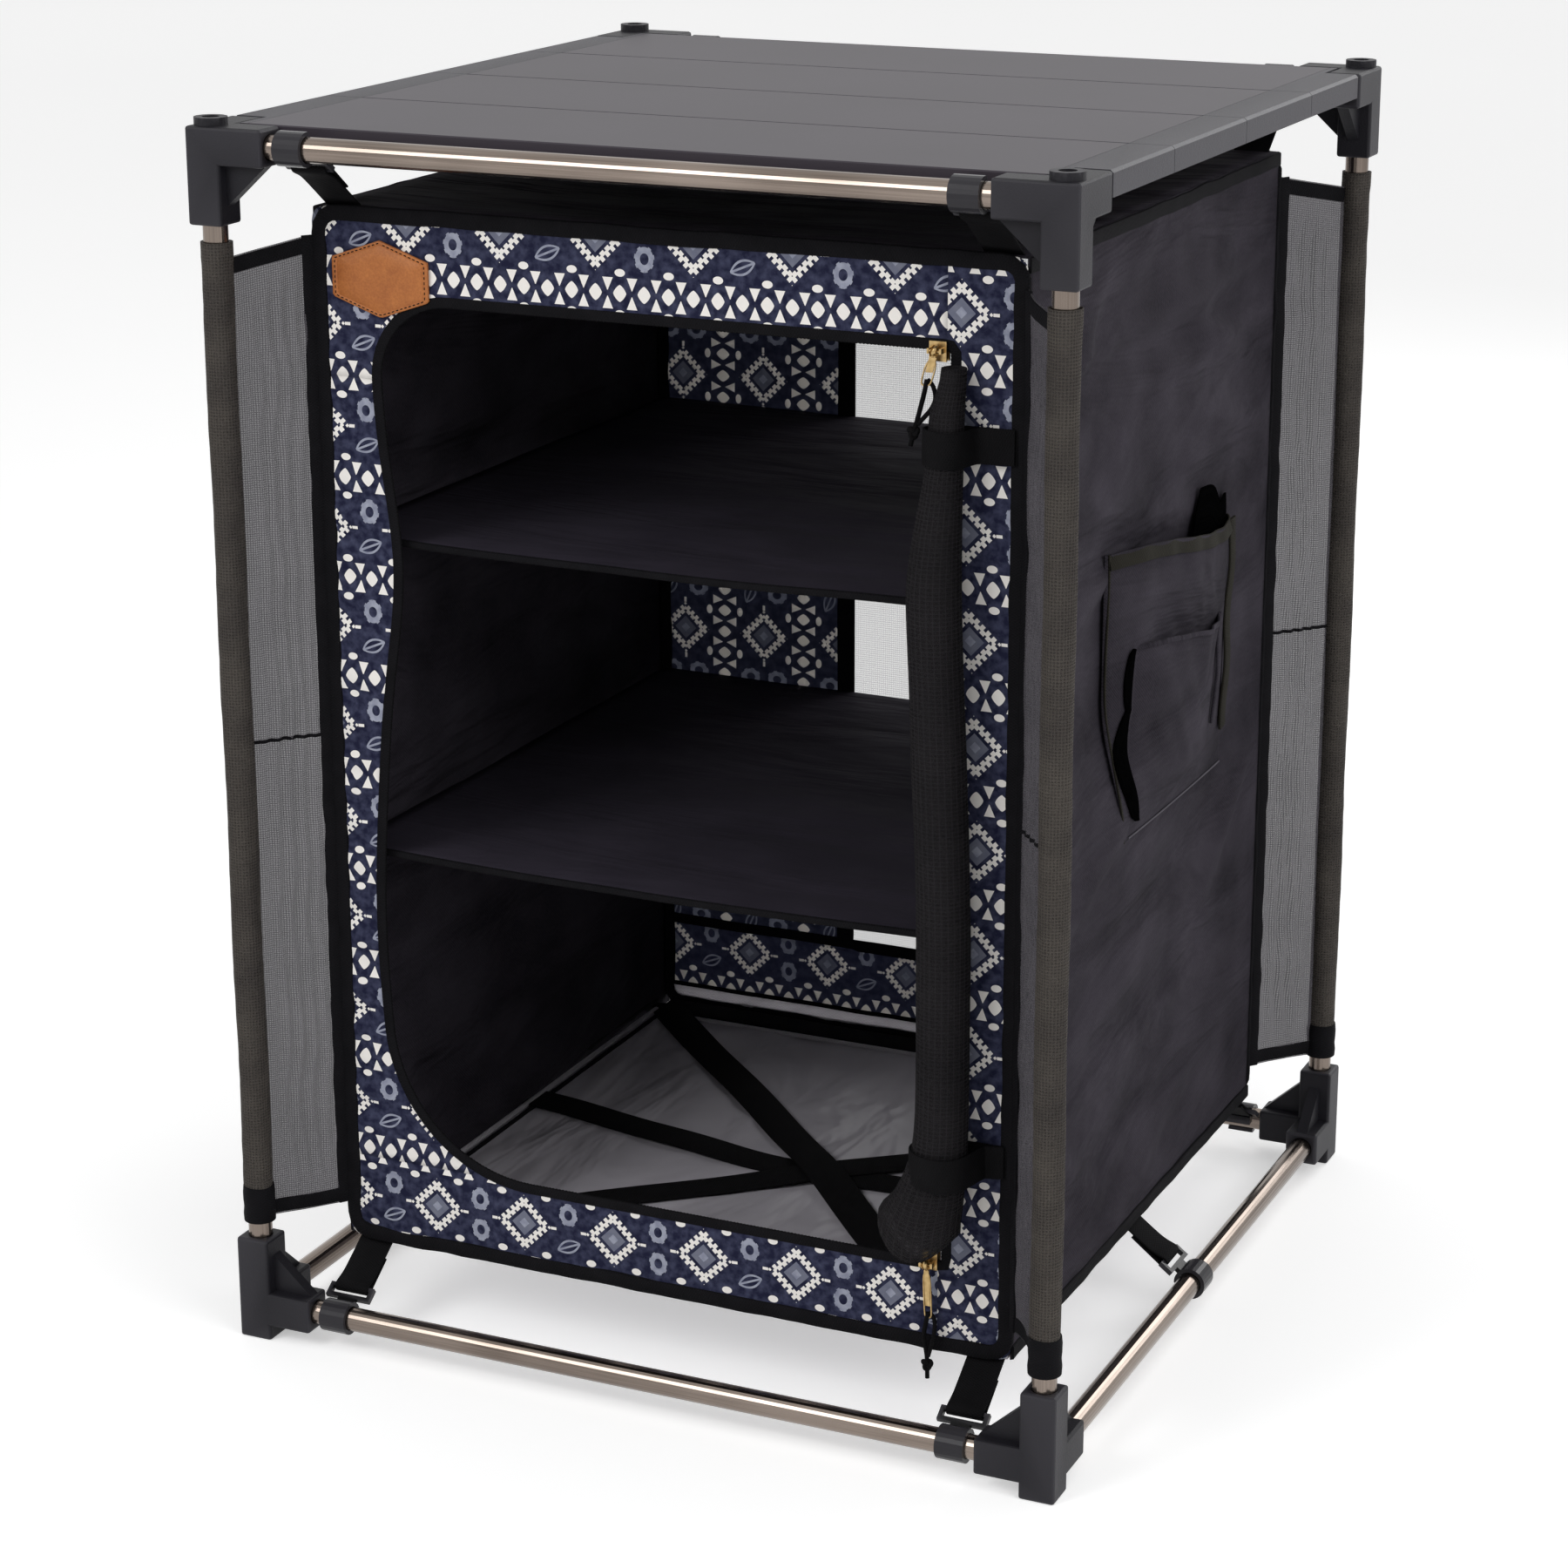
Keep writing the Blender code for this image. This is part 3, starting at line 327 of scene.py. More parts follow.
# Cloth: polyester in a plain weave. The threads are drawn at twice their 0.55 mm so that they show.
def wovenCloth(name, dark, light, threadMm=1.1, roughness=0.85, shine=0.06, creaseBumpAndPaintedShade=0.4):
    material, tree, flat = newMaterial(name, "UV", {"Roughness": roughness, "Specular IOR Level": shine})
    threads = addNode(tree, "ShaderNodeVectorMath", {0: flat, "Scale": math.pi * 1000 / threadMm},
                      operation='SCALE').outputs[0]
    waves = addNode(tree, "ShaderNodeVectorMath", {0: threads}, operation='SINE').outputs[0]
    split = addNode(tree, "ShaderNodeSeparateXYZ", {0: waves})
    weave = addNode(tree, "ShaderNodeMath", {0: split.outputs[0], 1: split.outputs[1]},
                    operation='MULTIPLY').outputs[0]
    cloud = addNode(tree, "ShaderNodeTexNoise", {"Vector": flat, "Scale": 14.0, "Detail": 5.0}).outputs[0]
    slub = addNode(tree, "ShaderNodeTexNoise", {"Vector": flat, "Scale": 420.0, "Detail": 2.0}).outputs[0]
    mixed = addNode(tree, "ShaderNodeMath", {0: weave, 1: 0.16, 2: cloud}, operation='MULTIPLY_ADD').outputs[0]
    both = addNode(tree, "ShaderNodeMath", {0: slub, 1: 0.35, 2: mixed}, operation='MULTIPLY_ADD').outputs[0]
    # soft creases from folding, some 60 mm high and long, which bump the surface; their ridges are painted lighter
    # and their hollows darker as painted shade
    drawn = addNode(tree, "ShaderNodeMapping", {"Vector": flat, "Scale": (0.5, 2.0, 1.0), "Rotation": (0, 0, 0.14)})
    crease = addNode(tree, "ShaderNodeTexNoise", {"Vector": drawn.outputs[0], "Scale": 8.0, "Detail": 4.0,
                                                  "Distortion": 0.5}).outputs[0]
    both = addNode(tree, "ShaderNodeMath", {0: crease, 1: creaseBumpAndPaintedShade, 2: both}, operation='MULTIPLY_ADD').outputs[0]
    tint = addNode(tree, "ShaderNodeMapRange", {"Value": both, "From Min": 0.35 + creaseBumpAndPaintedShade * 0.36,
                                                "From Max": 1.0 + creaseBumpAndPaintedShade * 0.64}).outputs[0]
    colour = addNode(tree, "ShaderNodeMix", {0: tint, 6: dark, 7: light}, data_type='RGBA')
    rough = addNode(tree, "ShaderNodeMath", {0: weave, 1: 0.3, 2: slub}, operation='MULTIPLY_ADD').outputs[0]
    soft = addNode(tree, "ShaderNodeBump", {"Strength": creaseBumpAndPaintedShade, "Distance": 0.03, "Height": crease})
    bump = addNode(tree, "ShaderNodeBump", {"Strength": 0.35, "Distance": 0.0003, "Height": rough,
                                            "Normal": soft.outputs[0]})
    return linkShader(material, {"Base Color": colour.outputs[2], "Normal": bump.outputs[0]})


# Print: the same cloth, printed navy with a folk pattern of diamonds, rings, leaves and lozenges.
# The tile is the real repeat in millimetres.
printTile = {"size": 66.0, "navy": "#1e2037", "cream": "#f6f2ed", "grey": "#a4a8b8", "shade": "#5a5e78"}


def printedCloth(name, phaseU, phaseV, turned=False, through=0.0, ground=printTile["navy"]):
    material, tree, flat = newMaterial(name, "UV", {"Roughness": 0.85, "Specular IOR Level": 0.1,
                                                    "Transmission Weight": through})
    axes = addNode(tree, "ShaderNodeSeparateXYZ", {0: flat}).outputs
    half = printTile["size"] / 2
    known = {"u": axes[1 if turned else 0], "v": axes[0 if turned else 1]}
    recipe = [
        # millimetres from the middle of a diamond, across and up
        ("um", 'MULTIPLY_ADD', "u", 1000.0, -phaseU), ("vm", 'MULTIPLY_ADD', "v", 1000.0, -phaseV),
        ("x", 'WRAP', "um", half, -half), ("y", 'WRAP', "vm", half, -half),
        ("xx", 'WRAP', "um", 2 * half, -2 * half),
        ("ax", 'ABSOLUTE', "x"), ("ay", 'ABSOLUTE', "y"),
        ("bx", 'SUBTRACT', half, "ax"), ("by", 'SUBTRACT', half, "ay"),
        # diamond: an outline of two rows of beads, grey heart with a light core
        ("r", 'ADD', "ax", "ay"), ("s", 'SUBTRACT', "ax", "ay"),
        ("beadA", 'WRAP', "s", 6.8, 0.0), ("aOn", 'LESS_THAN', "beadA", 4.8),
        ("sB", 'ADD', "s", 2.9), ("beadB", 'WRAP', "sB", 6.8, 0.0), ("bOn", 'LESS_THAN', "beadB", 4.0),
        ("rowA", 'COMPARE', "r", 14.0, 1.8), ("rowB", 'COMPARE', "r", 17.9, 2.1),
        ("thread", 'COMPARE', "r", 15.6, 1.0),
        ("beadsA", 'MULTIPLY', "rowA", "aOn"), ("beadsB", 'MULTIPLY', "rowB", "bOn"),
        ("lines", 'MAXIMUM', "beadsA", "beadsB"), ("diamond", 'MAXIMUM', "lines", "thread"),
        ("spikeX", 'COMPARE', "ax", 22.0, 2.0), ("spikeY", 'LESS_THAN', "ay", 1.0),
        ("spike", 'MULTIPLY', "spikeX", "spikeY"),
        ("heart", 'LESS_THAN', "r", 9.0), ("core", 'LESS_THAN', "r", 3.6),
        ("heartDim", 'MULTIPLY', "heart", 0.5), ("coreLit", 'MULTIPLY', "core", 0.95),
        # rings between the diamonds; below every other one a leaf instead
        ("ry", 'SUBTRACT', "ay", 11.0), ("ryFlat", 'MULTIPLY', "ry", 0.82),
        ("rx2", 'MULTIPLY', "bx", "bx"), ("ry2", 'MULTIPLY', "ryFlat", "ryFlat"),
        ("d2", 'ADD', "rx2", "ry2"), ("d", 'SQRT', "d2"),
        ("ring", 'COMPARE', "d", 4.5, 1.6), ("petal", 'COMPARE', "d", 6.3, 0.5),
        ("turn", 'ARCTAN2', "bx", "ryFlat"), ("turn6", 'MULTIPLY', "turn", 8.0), ("wave", 'SINE', "turn6"),
        ("waveOn", 'GREATER_THAN', "wave", 0.1), ("petals", 'MULTIPLY', "petal", "waveOn"),
        ("rings", 'MAXIMUM', "ring", "petals"),
        ("leftHalf", 'LESS_THAN', "xx", 0.0), ("lowHalf", 'LESS_THAN', "y", 0.0),
        ("leafCell", 'MULTIPLY', "leftHalf", "lowHalf"), ("ringCell", 'SUBTRACT', 1.0, "leafCell"),
        ("ringOn", 'MULTIPLY', "rings", "ringCell"),
        ("lx", 'ADD', "xx", half), ("ly", 'ADD', "y", 11.5),
        ("la", 'MULTIPLY_ADD', "ly", 0.45, "lx"), ("lxTurned", 'MULTIPLY', "lx", -0.42),
        ("lb", 'ADD', "ly", "lxTurned"),
        ("la2", 'MULTIPLY', "la", "la"), ("lRim", 'MULTIPLY_ADD', "la2", -0.048, 4.4), ("alb", 'ABSOLUTE', "lb"),
        ("leafArc", 'COMPARE', "alb", "lRim", 0.8), ("ala", 'ABSOLUTE', "la"), ("leafEnd", 'LESS_THAN', "ala", 9.8),
        ("rib", 'LESS_THAN', "alb", 0.75), ("leafIn", 'MAXIMUM', "leafArc", "rib"),
        ("leafBoth", 'MULTIPLY', "leafIn", "leafEnd"), ("leafOn", 'MULTIPLY', "leafBoth", "leafCell"),
        # half-round dots under and over the diamonds' row
        ("dotX", 'SUBTRACT', "ax", half / 2), ("dotY", 'SUBTRACT', "ay", 20.4),
        ("dotWide", 'MULTIPLY', "dotX", 0.68), ("dx2", 'MULTIPLY', "dotWide", "dotWide"),
        ("dy2", 'MULTIPLY', "dotY", "dotY"),
        ("dotD", 'ADD', "dx2", "dy2"), ("dot", 'LESS_THAN', "dotD", 5.6),
        # lattice row: lozenges with pairs of triangles between them
        ("kx", 'WRAP', "um", half / 4, -half / 4), ("akx", 'ABSOLUTE', "kx"),
        ("wide", 'DIVIDE', "akx", 4.4), ("tall", 'DIVIDE', "by", 5.2),
        ("wide2", 'POWER', "wide", 1.35), ("tall2", 'POWER', "tall", 1.35), ("loz", 'ADD', "wide2", "tall2"),
        ("lozenge", 'LESS_THAN', "loz", 1.0),
        ("hx", 'SUBTRACT', half / 4, "akx"), ("hSlope", 'MULTIPLY_ADD', "by", 0.44, -0.62),
        ("hIn", 'LESS_THAN', "hx", "hSlope"), ("hEnd", 'COMPARE', "by", 5.7, 3.9),
        ("triangle", 'MULTIPLY', "hIn", "hEnd"),
        ("creamA", 'MAXIMUM', "diamond", "dot"), ("creamB", 'MAXIMUM', "lozenge", "triangle"),
        ("creamC", 'MAXIMUM', "creamA", "creamB"), ("cream", 'MAXIMUM', "creamC", "spike"),
        ("greyA", 'MAXIMUM', "ringOn", "leafOn"), ("greyB", 'MAXIMUM', "greyA", "heartDim"),
        ("grey", 'MAXIMUM', "greyB", "coreLit"),
    ]
    for result, operation, *values in recipe:
        inputs = {i: known[v] if isinstance(v, str) else v for i, v in enumerate(values)}
        known[result] = addNode(tree, "ShaderNodeMath", inputs, operation=operation).outputs[0]
    base = addNode(tree, "ShaderNodeMix", {0: known["grey"], 6: ground,
                                           7: printTile["grey"]}, data_type='RGBA').outputs[2]
    fade = addNode(tree, "ShaderNodeTexNoise", {"Vector": flat, "Scale": 170.0, "Detail": 4.0}).outputs[0]
    dull = addNode(tree, "ShaderNodeMapRange", {"Value": fade, "From Min": 0.38, "From Max": 0.72,
                                                "To Min": 0.0, "To Max": 0.5}).outputs[0]
    mottled = addNode(tree, "ShaderNodeMix", {0: dull, 6: base, 7: printTile["shade"]}, data_type='RGBA').outputs[2]
    printed = addNode(tree, "ShaderNodeMix", {0: known["cream"], 6: mottled,
                                              7: printTile["cream"]}, data_type='RGBA').outputs[2]
    thread = addNode(tree, "ShaderNodeTexNoise", {"Vector": flat, "Scale": 900.0, "Detail": 2.0}).outputs[0]
    bump = addNode(tree, "ShaderNodeBump", {"Strength": 0.3, "Distance": 0.0002, "Height": thread})
    return linkShader(material, {"Base Color": printed, "Normal": bump.outputs[0]})


# Net: knitted polyester mesh. Light comes through its holes, drawn wider than their 1 mm.
def knittedNet(name, dark, light, holeMm, cover, openness):
    material, tree, flat = newMaterial(name, "UV", {"Roughness": 0.8, "Specular IOR Level": 0.1})
    threads = addNode(tree, "ShaderNodeVectorMath", {0: flat, "Scale": math.pi * 1000 / holeMm},
                      operation='SCALE').outputs[0]
    waves = addNode(tree, "ShaderNodeVectorMath", {0: threads}, operation='SINE').outputs[0]
    split = addNode(tree, "ShaderNodeSeparateXYZ", {0: waves})
    holes = addNode(tree, "ShaderNodeMath", {0: split.outputs[0], 1: split.outputs[1]},
                    operation='MULTIPLY').outputs[0]
    holes = addNode(tree, "ShaderNodeMath", {0: holes}, operation='ABSOLUTE').outputs[0]
    cloud = addNode(tree, "ShaderNodeTexNoise", {"Vector": flat, "Scale": 25.0, "Detail": 3.0}).outputs[0]
    colour = addNode(tree, "ShaderNodeMix", {0: cloud, 6: dark, 7: light}, data_type='RGBA')
    solid = addNode(tree, "ShaderNodeMath", {0: holes, 1: -openness, 2: cover}, operation='MULTIPLY_ADD',
                    use_clamp=True).outputs[0]
    bump = addNode(tree, "ShaderNodeBump", {"Strength": 0.3, "Distance": 0.0003, "Height": holes})
    return linkShader(material, {"Base Color": colour.outputs[2], "Alpha": solid, "Normal": bump.outputs[0]})


# Webbing and binding: woven nylon tape. Close ribs across it catch a little light.
def wovenTape(name, dark, light, ribMm, through=0.0):
    material, tree, flat = newMaterial(name, "UV", {"Roughness": 0.75, "Specular IOR Level": 0.06,
                                                    "Transmission Weight": through})
    split = addNode(tree, "ShaderNodeSeparateXYZ", {0: flat})
    along = addNode(tree, "ShaderNodeMath", {0: split.outputs[1], 1: 2 * math.pi * 1000 / ribMm},
                    operation='MULTIPLY').outputs[0]
    across = addNode(tree, "ShaderNodeMath", {0: split.outputs[0], 1: 2 * math.pi * 1000 / 3.0},
                     operation='MULTIPLY').outputs[0]
    rib = addNode(tree, "ShaderNodeMath", {0: along}, operation='SINE').outputs[0]
    row = addNode(tree, "ShaderNodeMath", {0: across}, operation='SINE').outputs[0]
    weave = addNode(tree, "ShaderNodeMath", {0: rib, 1: row}, operation='MULTIPLY').outputs[0]
    cloud = addNode(tree, "ShaderNodeTexNoise", {"Vector": flat, "Scale": 60.0, "Detail": 4.0}).outputs[0]
    tint = addNode(tree, "ShaderNodeMath", {0: weave, 1: 0.22, 2: cloud}, operation='MULTIPLY_ADD').outputs[0]
    colour = addNode(tree, "ShaderNodeMix", {0: tint, 6: dark, 7: light}, data_type='RGBA')
    bump = addNode(tree, "ShaderNodeBump", {"Strength": 0.5, "Distance": 0.0003, "Height": weave})
    return linkShader(material, {"Base Color": colour.outputs[2], "Normal": bump.outputs[0]})


# Floor: polyester with a PVC coating. Smooth and half glossy, so its creases show as long lights.
def coatedFloor(name):
    material, tree, place = newMaterial(name, "UV", {"Roughness": 0.3, "IOR": 1.53})
    cloud = addNode(tree, "ShaderNodeTexNoise", {"Vector": place, "Scale": 9.0, "Detail": 4.0}).outputs[0]
    colour = addNode(tree, "ShaderNodeMix", {0: cloud, 6: "#aaa6ad", 7: "#cfcbd3"}, data_type='RGBA')
    stretch = addNode(tree, "ShaderNodeMapping", {"Vector": place, "Scale": (1.0, 0.35, 1.0),
                                                  "Rotation": (0, 0, 0.5)}).outputs[0]
    folds = addNode(tree, "ShaderNodeTexNoise", {"Vector": stretch, "Scale": 15.0, "Detail": 3.0,
                                                 "Distortion": 0.6}).outputs[0]
    bump = addNode(tree, "ShaderNodeBump", {"Strength": 0.8, "Distance": 0.02, "Height": folds})
    rough = addNode(tree, "ShaderNodeMapRange", {"Value": cloud, "To Min": 0.22, "To Max": 0.4}).outputs[0]
    return linkShader(material, {"Base Color": colour.outputs[2], "Normal": bump.outputs[0],
                                 "Roughness": rough})


# Label: vegetable-tanned leather, die cut. Warm tan with fine pores.
def tanLeather(name):
    material, tree, place = newMaterial(name, "Object", {"Roughness": 0.55, "IOR": 1.5})
    pores = addNode(tree, "ShaderNodeTexVoronoi", {"Vector": place, "Scale": 750.0}).outputs["Distance"]
    cloud = addNode(tree, "ShaderNodeTexNoise", {"Vector": place, "Scale": 55.0, "Detail": 5.0}).outputs[0]
    tint = addNode(tree, "ShaderNodeMath", {0: pores, 1: 0.3, 2: cloud}, operation='MULTIPLY_ADD').outputs[0]
    colour = addNode(tree, "ShaderNodeValToRGB", {"Fac": tint})
    colour.color_ramp.elements[0].position, colour.color_ramp.elements[0].color = 0.35, toLinear("#96521f")
    colour.color_ramp.elements[1].position, colour.color_ramp.elements[1].color = 0.85, toLinear("#ba7135")
    bump = addNode(tree, "ShaderNodeBump", {"Strength": 0.4, "Distance": 0.0003, "Height": pores})
    return linkShader(material, {"Base Color": colour.outputs[0], "Normal": bump.outputs[0]})


# Zip metal: brass, tumbled and worn satin.
def tumbledBrass(name):
    material, tree, place = newMaterial(name, "Object", {"Metallic": 1.0, "Roughness": 0.32})
    cloud = addNode(tree, "ShaderNodeTexNoise", {"Vector": place, "Scale": 320.0, "Detail": 4.0}).outputs[0]
    colour = addNode(tree, "ShaderNodeMix", {0: cloud, 6: "#8a6d3f", 7: "#dcc08c"}, data_type='RGBA')
    bump = addNode(tree, "ShaderNodeBump", {"Strength": 0.2, "Distance": 0.0002, "Height": cloud})
    return linkShader(material, {"Base Color": colour.outputs[2], "Normal": bump.outputs[0]})


tubeAcross = drawnTube("drawn anodised tube, side to side", (12, 900, 900))
tubeDeep = drawnTube("drawn anodised tube, front to back", (900, 12, 900))
tubeUpright = drawnTube("drawn anodised tube, upright", (900, 900, 12))
connectorNylon = mouldedNylon("moulded nylon", "#131217", "#201f24", 0.5, 1.1, 0.0005, 0.18)
clipAcetal = mouldedNylon("moulded acetal clip", "#070708", "#0f0f11", 0.2, 2.5, 0.00008, 0.13)
tableCoat = powderCoat("powder coated slat")
# the side cloth carries the strongest painted crease shade
sideCloth = wovenCloth("woven polyester, charcoal", "#151318", "#454149", creaseBumpAndPaintedShade=1.0)
shelfCloth = wovenCloth("woven polyester, shelf", "#29262e", "#3a3640", roughness=0.75)
borderPrint = printedCloth("printed polyester, top and left", 90.5, 753.0)
footPrint = printedCloth("printed polyester, foot", -172.0, 92.0)
rightPrint = printedCloth("printed polyester, right", 196.0, 659.0)
# the back's two prints get a lighter navy ground than the front's: painted light, standing in for light shining
# through the back cloth
backPrintPaintedBacklight = printedCloth("printed polyester, back", 568.0, -153.0, turned=True, through=0.35, ground="#2f3247")
backFootPrintPaintedBacklight = printedCloth("printed polyester, back foot", -166.0, 113.0, through=0.35, ground="#343750")
wingNet = knittedNet("knitted net, wing", "#4a484d", "#656267", 1.5, 0.84, 0.3)
windowNet = knittedNet("knitted net, window", "#a3a1a9", "#bfbdc6", 1.6, 0.36, 0.18)
doorNet = knittedNet("knitted net, door", "#161517", "#262426", 2.6, 1.0, 0.34)
sleeveNet = knittedNet("knitted net, sleeve", "#2f2c2d", "#5a554f", 2.0, 1.0, 0.45)
tapeBlack = wovenTape("woven nylon tape", "#0a0a0b", "#161517", 1.6)
bindingTape = wovenTape("woven binding tape", "#0b0b0d", "#19181b", 1.8)
oliveTape = wovenTape("woven binding tape, olive", "#1b1a17", "#2d2b25", 1.8)
seamThread = wovenTape("sewing thread", "#4d4a51", "#68656c", 1.2)
# near-black with no shine: painted shade for the pocket's mouth and gap
shadeBlackCloth = wovenCloth("near-black cloth, painted shade", "#030303", "#080809", roughness=1.0, shine=0.0)
floorCoat = coatedFloor("coated floor cloth")
# piping and turn-up: the floor's coated cloth, coloured much lighter than the floor as painted light and painted
# highlight
pipingClothPaintedLight = wovenTape("coated piping, painted lighter", "#c4c0c6", "#dfdce1", 2.4, 0.5)
labelLeather = tanLeather("tan leather")
zipBrass = tumbledBrass("tumbled brass")
print("materials made")


# Zip pulls: a brass tab on the slider's bridge and a knotted cord

pull = {
    "cordRadius": 0.0015, "knot": 0.0046, "second": 0.95,    # the second strand is this much thinner
    "eye": 0.0026, "waist": 0.0030, "hole": 0.0035,          # hole: above the tab's end
    # pivot, whole length, how far right the cord ends, tab's reach, half width and lean
    "top": ((0.185, -0.2486, 0.7025), 0.058, -0.015, 0.021, 0.0033, -0.28),
    "bottom": ((0.185, -0.2486, 0.1195), 0.078, 0.0015, 0.036, 0.0024, 0.05),
}


# a stamped tab: an eye on the bridge, a waist, and a slotted end for the cord
def zipTab(reach, half):
    bm = bmesh.new()
    eye = [Vector((0, pull["eye"] * math.sin(a), pull["eye"] * math.cos(a))) for a in circle(20)]
    addSweep(bm, eye, (1, 0, 0), flatProfile(0.0014, 0.0036), closed=True)
    waist = -pull["waist"]
    edge = [(0.3, waist), (0.55, waist - 0.003), (1.0, -0.009), (1.0, 0.003 - reach), (0.7, -reach)]
    outline = smoothLine([(-half * x, 0, z) for x, z in edge] + [(half * x, 0, z) for x, z in edge[::-1]], 2)
    addSweep(bm, outline + [outline[0]], (0, 1, 0), flatProfile(0.0011, 0.0015))
    addSweep(bm, [(0, 0, waist - 0.001), (0, 0, 0.008 - reach)], (0, 1, 0), flatProfile(1.5 * half, 0.0009))
    return bm


for end in ("top", "bottom"):
    pivot, whole, lean, reach, half, tilt = pull[end]
    pivot, body, free = Vector(pivot), "pull_" + end, whole - reach
    bm = zipTab(reach, half)
    for vert in bm.verts:
        vert.co.x -= tilt * vert.co.z
    bmesh.ops.translate(bm, vec=pivot, verts=bm.verts)
    makePiece("zip_tab_" + end, bm, zipBrass, body, "zip_metal", ["zip_pull_" + end])
    hole = tilt * (reach - pull["hole"])
    route = smoothLine([(hole, 0, pull["hole"] - reach), (hole - 0.0012, -0.0006, -reach - 0.004),
                        (lean * 0.4 - 0.0020, -0.0004, -reach - free * 0.30),
                        (lean * 0.75, 0.0, -reach - free * 0.62), (lean * 0.9, 0.0, -reach - free * 0.8),
                        (lean, 0.0, -whole)], 2)
    route = [pivot + p for p in route]
    length = sum((b - a).length for a, b in zip(route, route[1:]))
    curve = bpy.data.curves.new("pull_cord_" + end, 'CURVE')
    curve.dimensions = '3D'
    curve.bevel_depth, curve.bevel_resolution, curve.use_fill_caps = pull["cordRadius"], 3, True
    spline = curve.splines.new('POLY')
    spline.points.add(len(route) - 1)
    for point, place in zip(spline.points, route):
        point.co = (*place, 1.0)
    curve.materials.append(tapeBlack)
    cord = bpy.data.objects.new("pull_cord_" + end, curve)
    bpy.context.scene.collection.objects.link(cord)
    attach(cord, body)
    middle, scale = route[-7], pull["knot"] / 3
    trefoil = [middle + scale * Vector((math.sin(t) + 2 * math.sin(2 * t), 0.8 * -math.sin(3 * t),
                                        math.cos(t) - 2 * math.cos(2 * t))) * 0.72 for t in circle(48)]
    strand = roundProfile(pull["cordRadius"] * pull["second"], 8)
    second = smoothLine([(hole, 0.0012, pull["hole"] - reach), (hole + 0.0046, 0.0010, -reach - 0.001),
                         (lean * 0.3 + 0.0052, 0.0004, -reach - free * 0.30),
                         (lean * 0.75 + 0.0008, 0.0, -reach - free * 0.64)], 2)
    knot = stripPiece("pull_knot_" + end, tapeBlack,
                      [(trefoil, [(p - middle).normalized() for p in trefoil], strand, True),
                       ([pivot + p for p in second], (0, -1, 0), strand)], body=body)
print("zip pulls made")


# Frame, table, clips and sliders keep their CAD shapes

finishes = {
    "upright_": tubeUpright, "foot_connector_": connectorNylon, "top_connector_": connectorNylon,
    "clip_": clipAcetal, "table_slat_": tableCoat, "slat_cap_": connectorNylon, "zip_slider_": zipBrass,
}
for name, node in nodes.items():
    found = [m for start, m in finishes.items() if name.startswith(start)]
    if "_rail_" in name:
        found = [tubeAcross if name.endswith(("front", "rear")) else tubeDeep]
    if found:
        for slot in node.material_slots:
            slot.material = found[0]
print("frame dressed")


# Printed front border with the bound opening

border = {
    "y": -0.241, "half": 0.240, "low": 0.060, "high": 0.7605, "corner": 0.0095, "cell": 0.0048, "thick": 0.0012,
    "wave": ((0.530, 0.075, 0.012), (0.290, 0.110, -0.009)),   # opening's left edge: height, spread, shift
    "pucker": 0.0014, "seam": 0.190, "left": -0.100, "snap": 0.009,
}
opening = {"left": -0.196, "right": 0.193, "low": 0.1195, "high": 0.7025, "top": 0.050, "foot": 0.095}


def leftWave(z):
    return sum(shift * gauss(z, height, spread) for height, spread, shift in border["wave"])


def openingLine(step):
    o, top, foot = opening, opening["top"], opening["foot"]
    line = [(o["right"], 0, o["low"]), (o["right"], 0, o["high"]), *arc(o["left"] + top, o["high"] - top, top, 1, 12)]
    line += [(o["left"], 0, z) for z in steps(o["high"] - top, o["low"] + foot, -0.02)[1:-1]]
    line = resample(line + arc(o["left"] + foot, o["low"] + foot, foot, 2, 16), step, closed=True)
    return [Vector((p.x + leftWave(p.z) * ease(-p.x, 0.10, 0.16), border["y"], p.z)) for p in line]


rim = openingLine(0.004)


def inOpening(x, z):
    inside = False
    for a, b in zip(rim, rim[1:] + rim[:1]):
        if (a.z > z) != (b.z > z) and x < a.x + (z - a.z) / (b.z - a.z) * (b.x - a.x):
            inside = not inside
    return inside


# pulls the square corners of front and back in to the edge binding's curve
def roundCorner(x, z):
    radius = border["corner"]
    z0, z1 = border["low"] + radius, border["high"] - radius
    overX, overZ = abs(x) - (border["half"] - radius), max(z - z1, z0 - z)
    far = math.hypot(overX, overZ)
    if overX <= 0 or overZ <= 0 or far <= radius:
        return x, z
    share = radius / far
    across = math.copysign(border["half"] - radius + overX * share, x)
    return across, z1 + overZ * share if z > z1 else z0 - overZ * share


def borderPlace(x, z):
    x, z = roundCorner(x, z)
    edge = min(abs(x + border["half"]), 1.0)
    calm = ease(abs(z - opening["high"]), 0.006, 0.03) * ease(abs(z - opening["low"]), 0.006, 0.03)
    calm *= (1 - ease(x, 0.12, 0.16)) * ease(edge, 0.006, 0.016)
    swell = ripple(x, z, 0.055, 3.0) + 0.6 * ripple(x, z, 0.023, 7.0)
    pleat = 1.3 * gauss(edge, 0.012, 0.014) * math.sin(z / 0.0042 + 2 * ripple(x, z, 0.05))
    tug = 0.0012 * math.sin(z / 0.021) * gauss(x, -border["half"], 0.010)
    return Vector((x + tug, border["y"] - border["pucker"] * calm * (0.9 * swell + pleat), z))


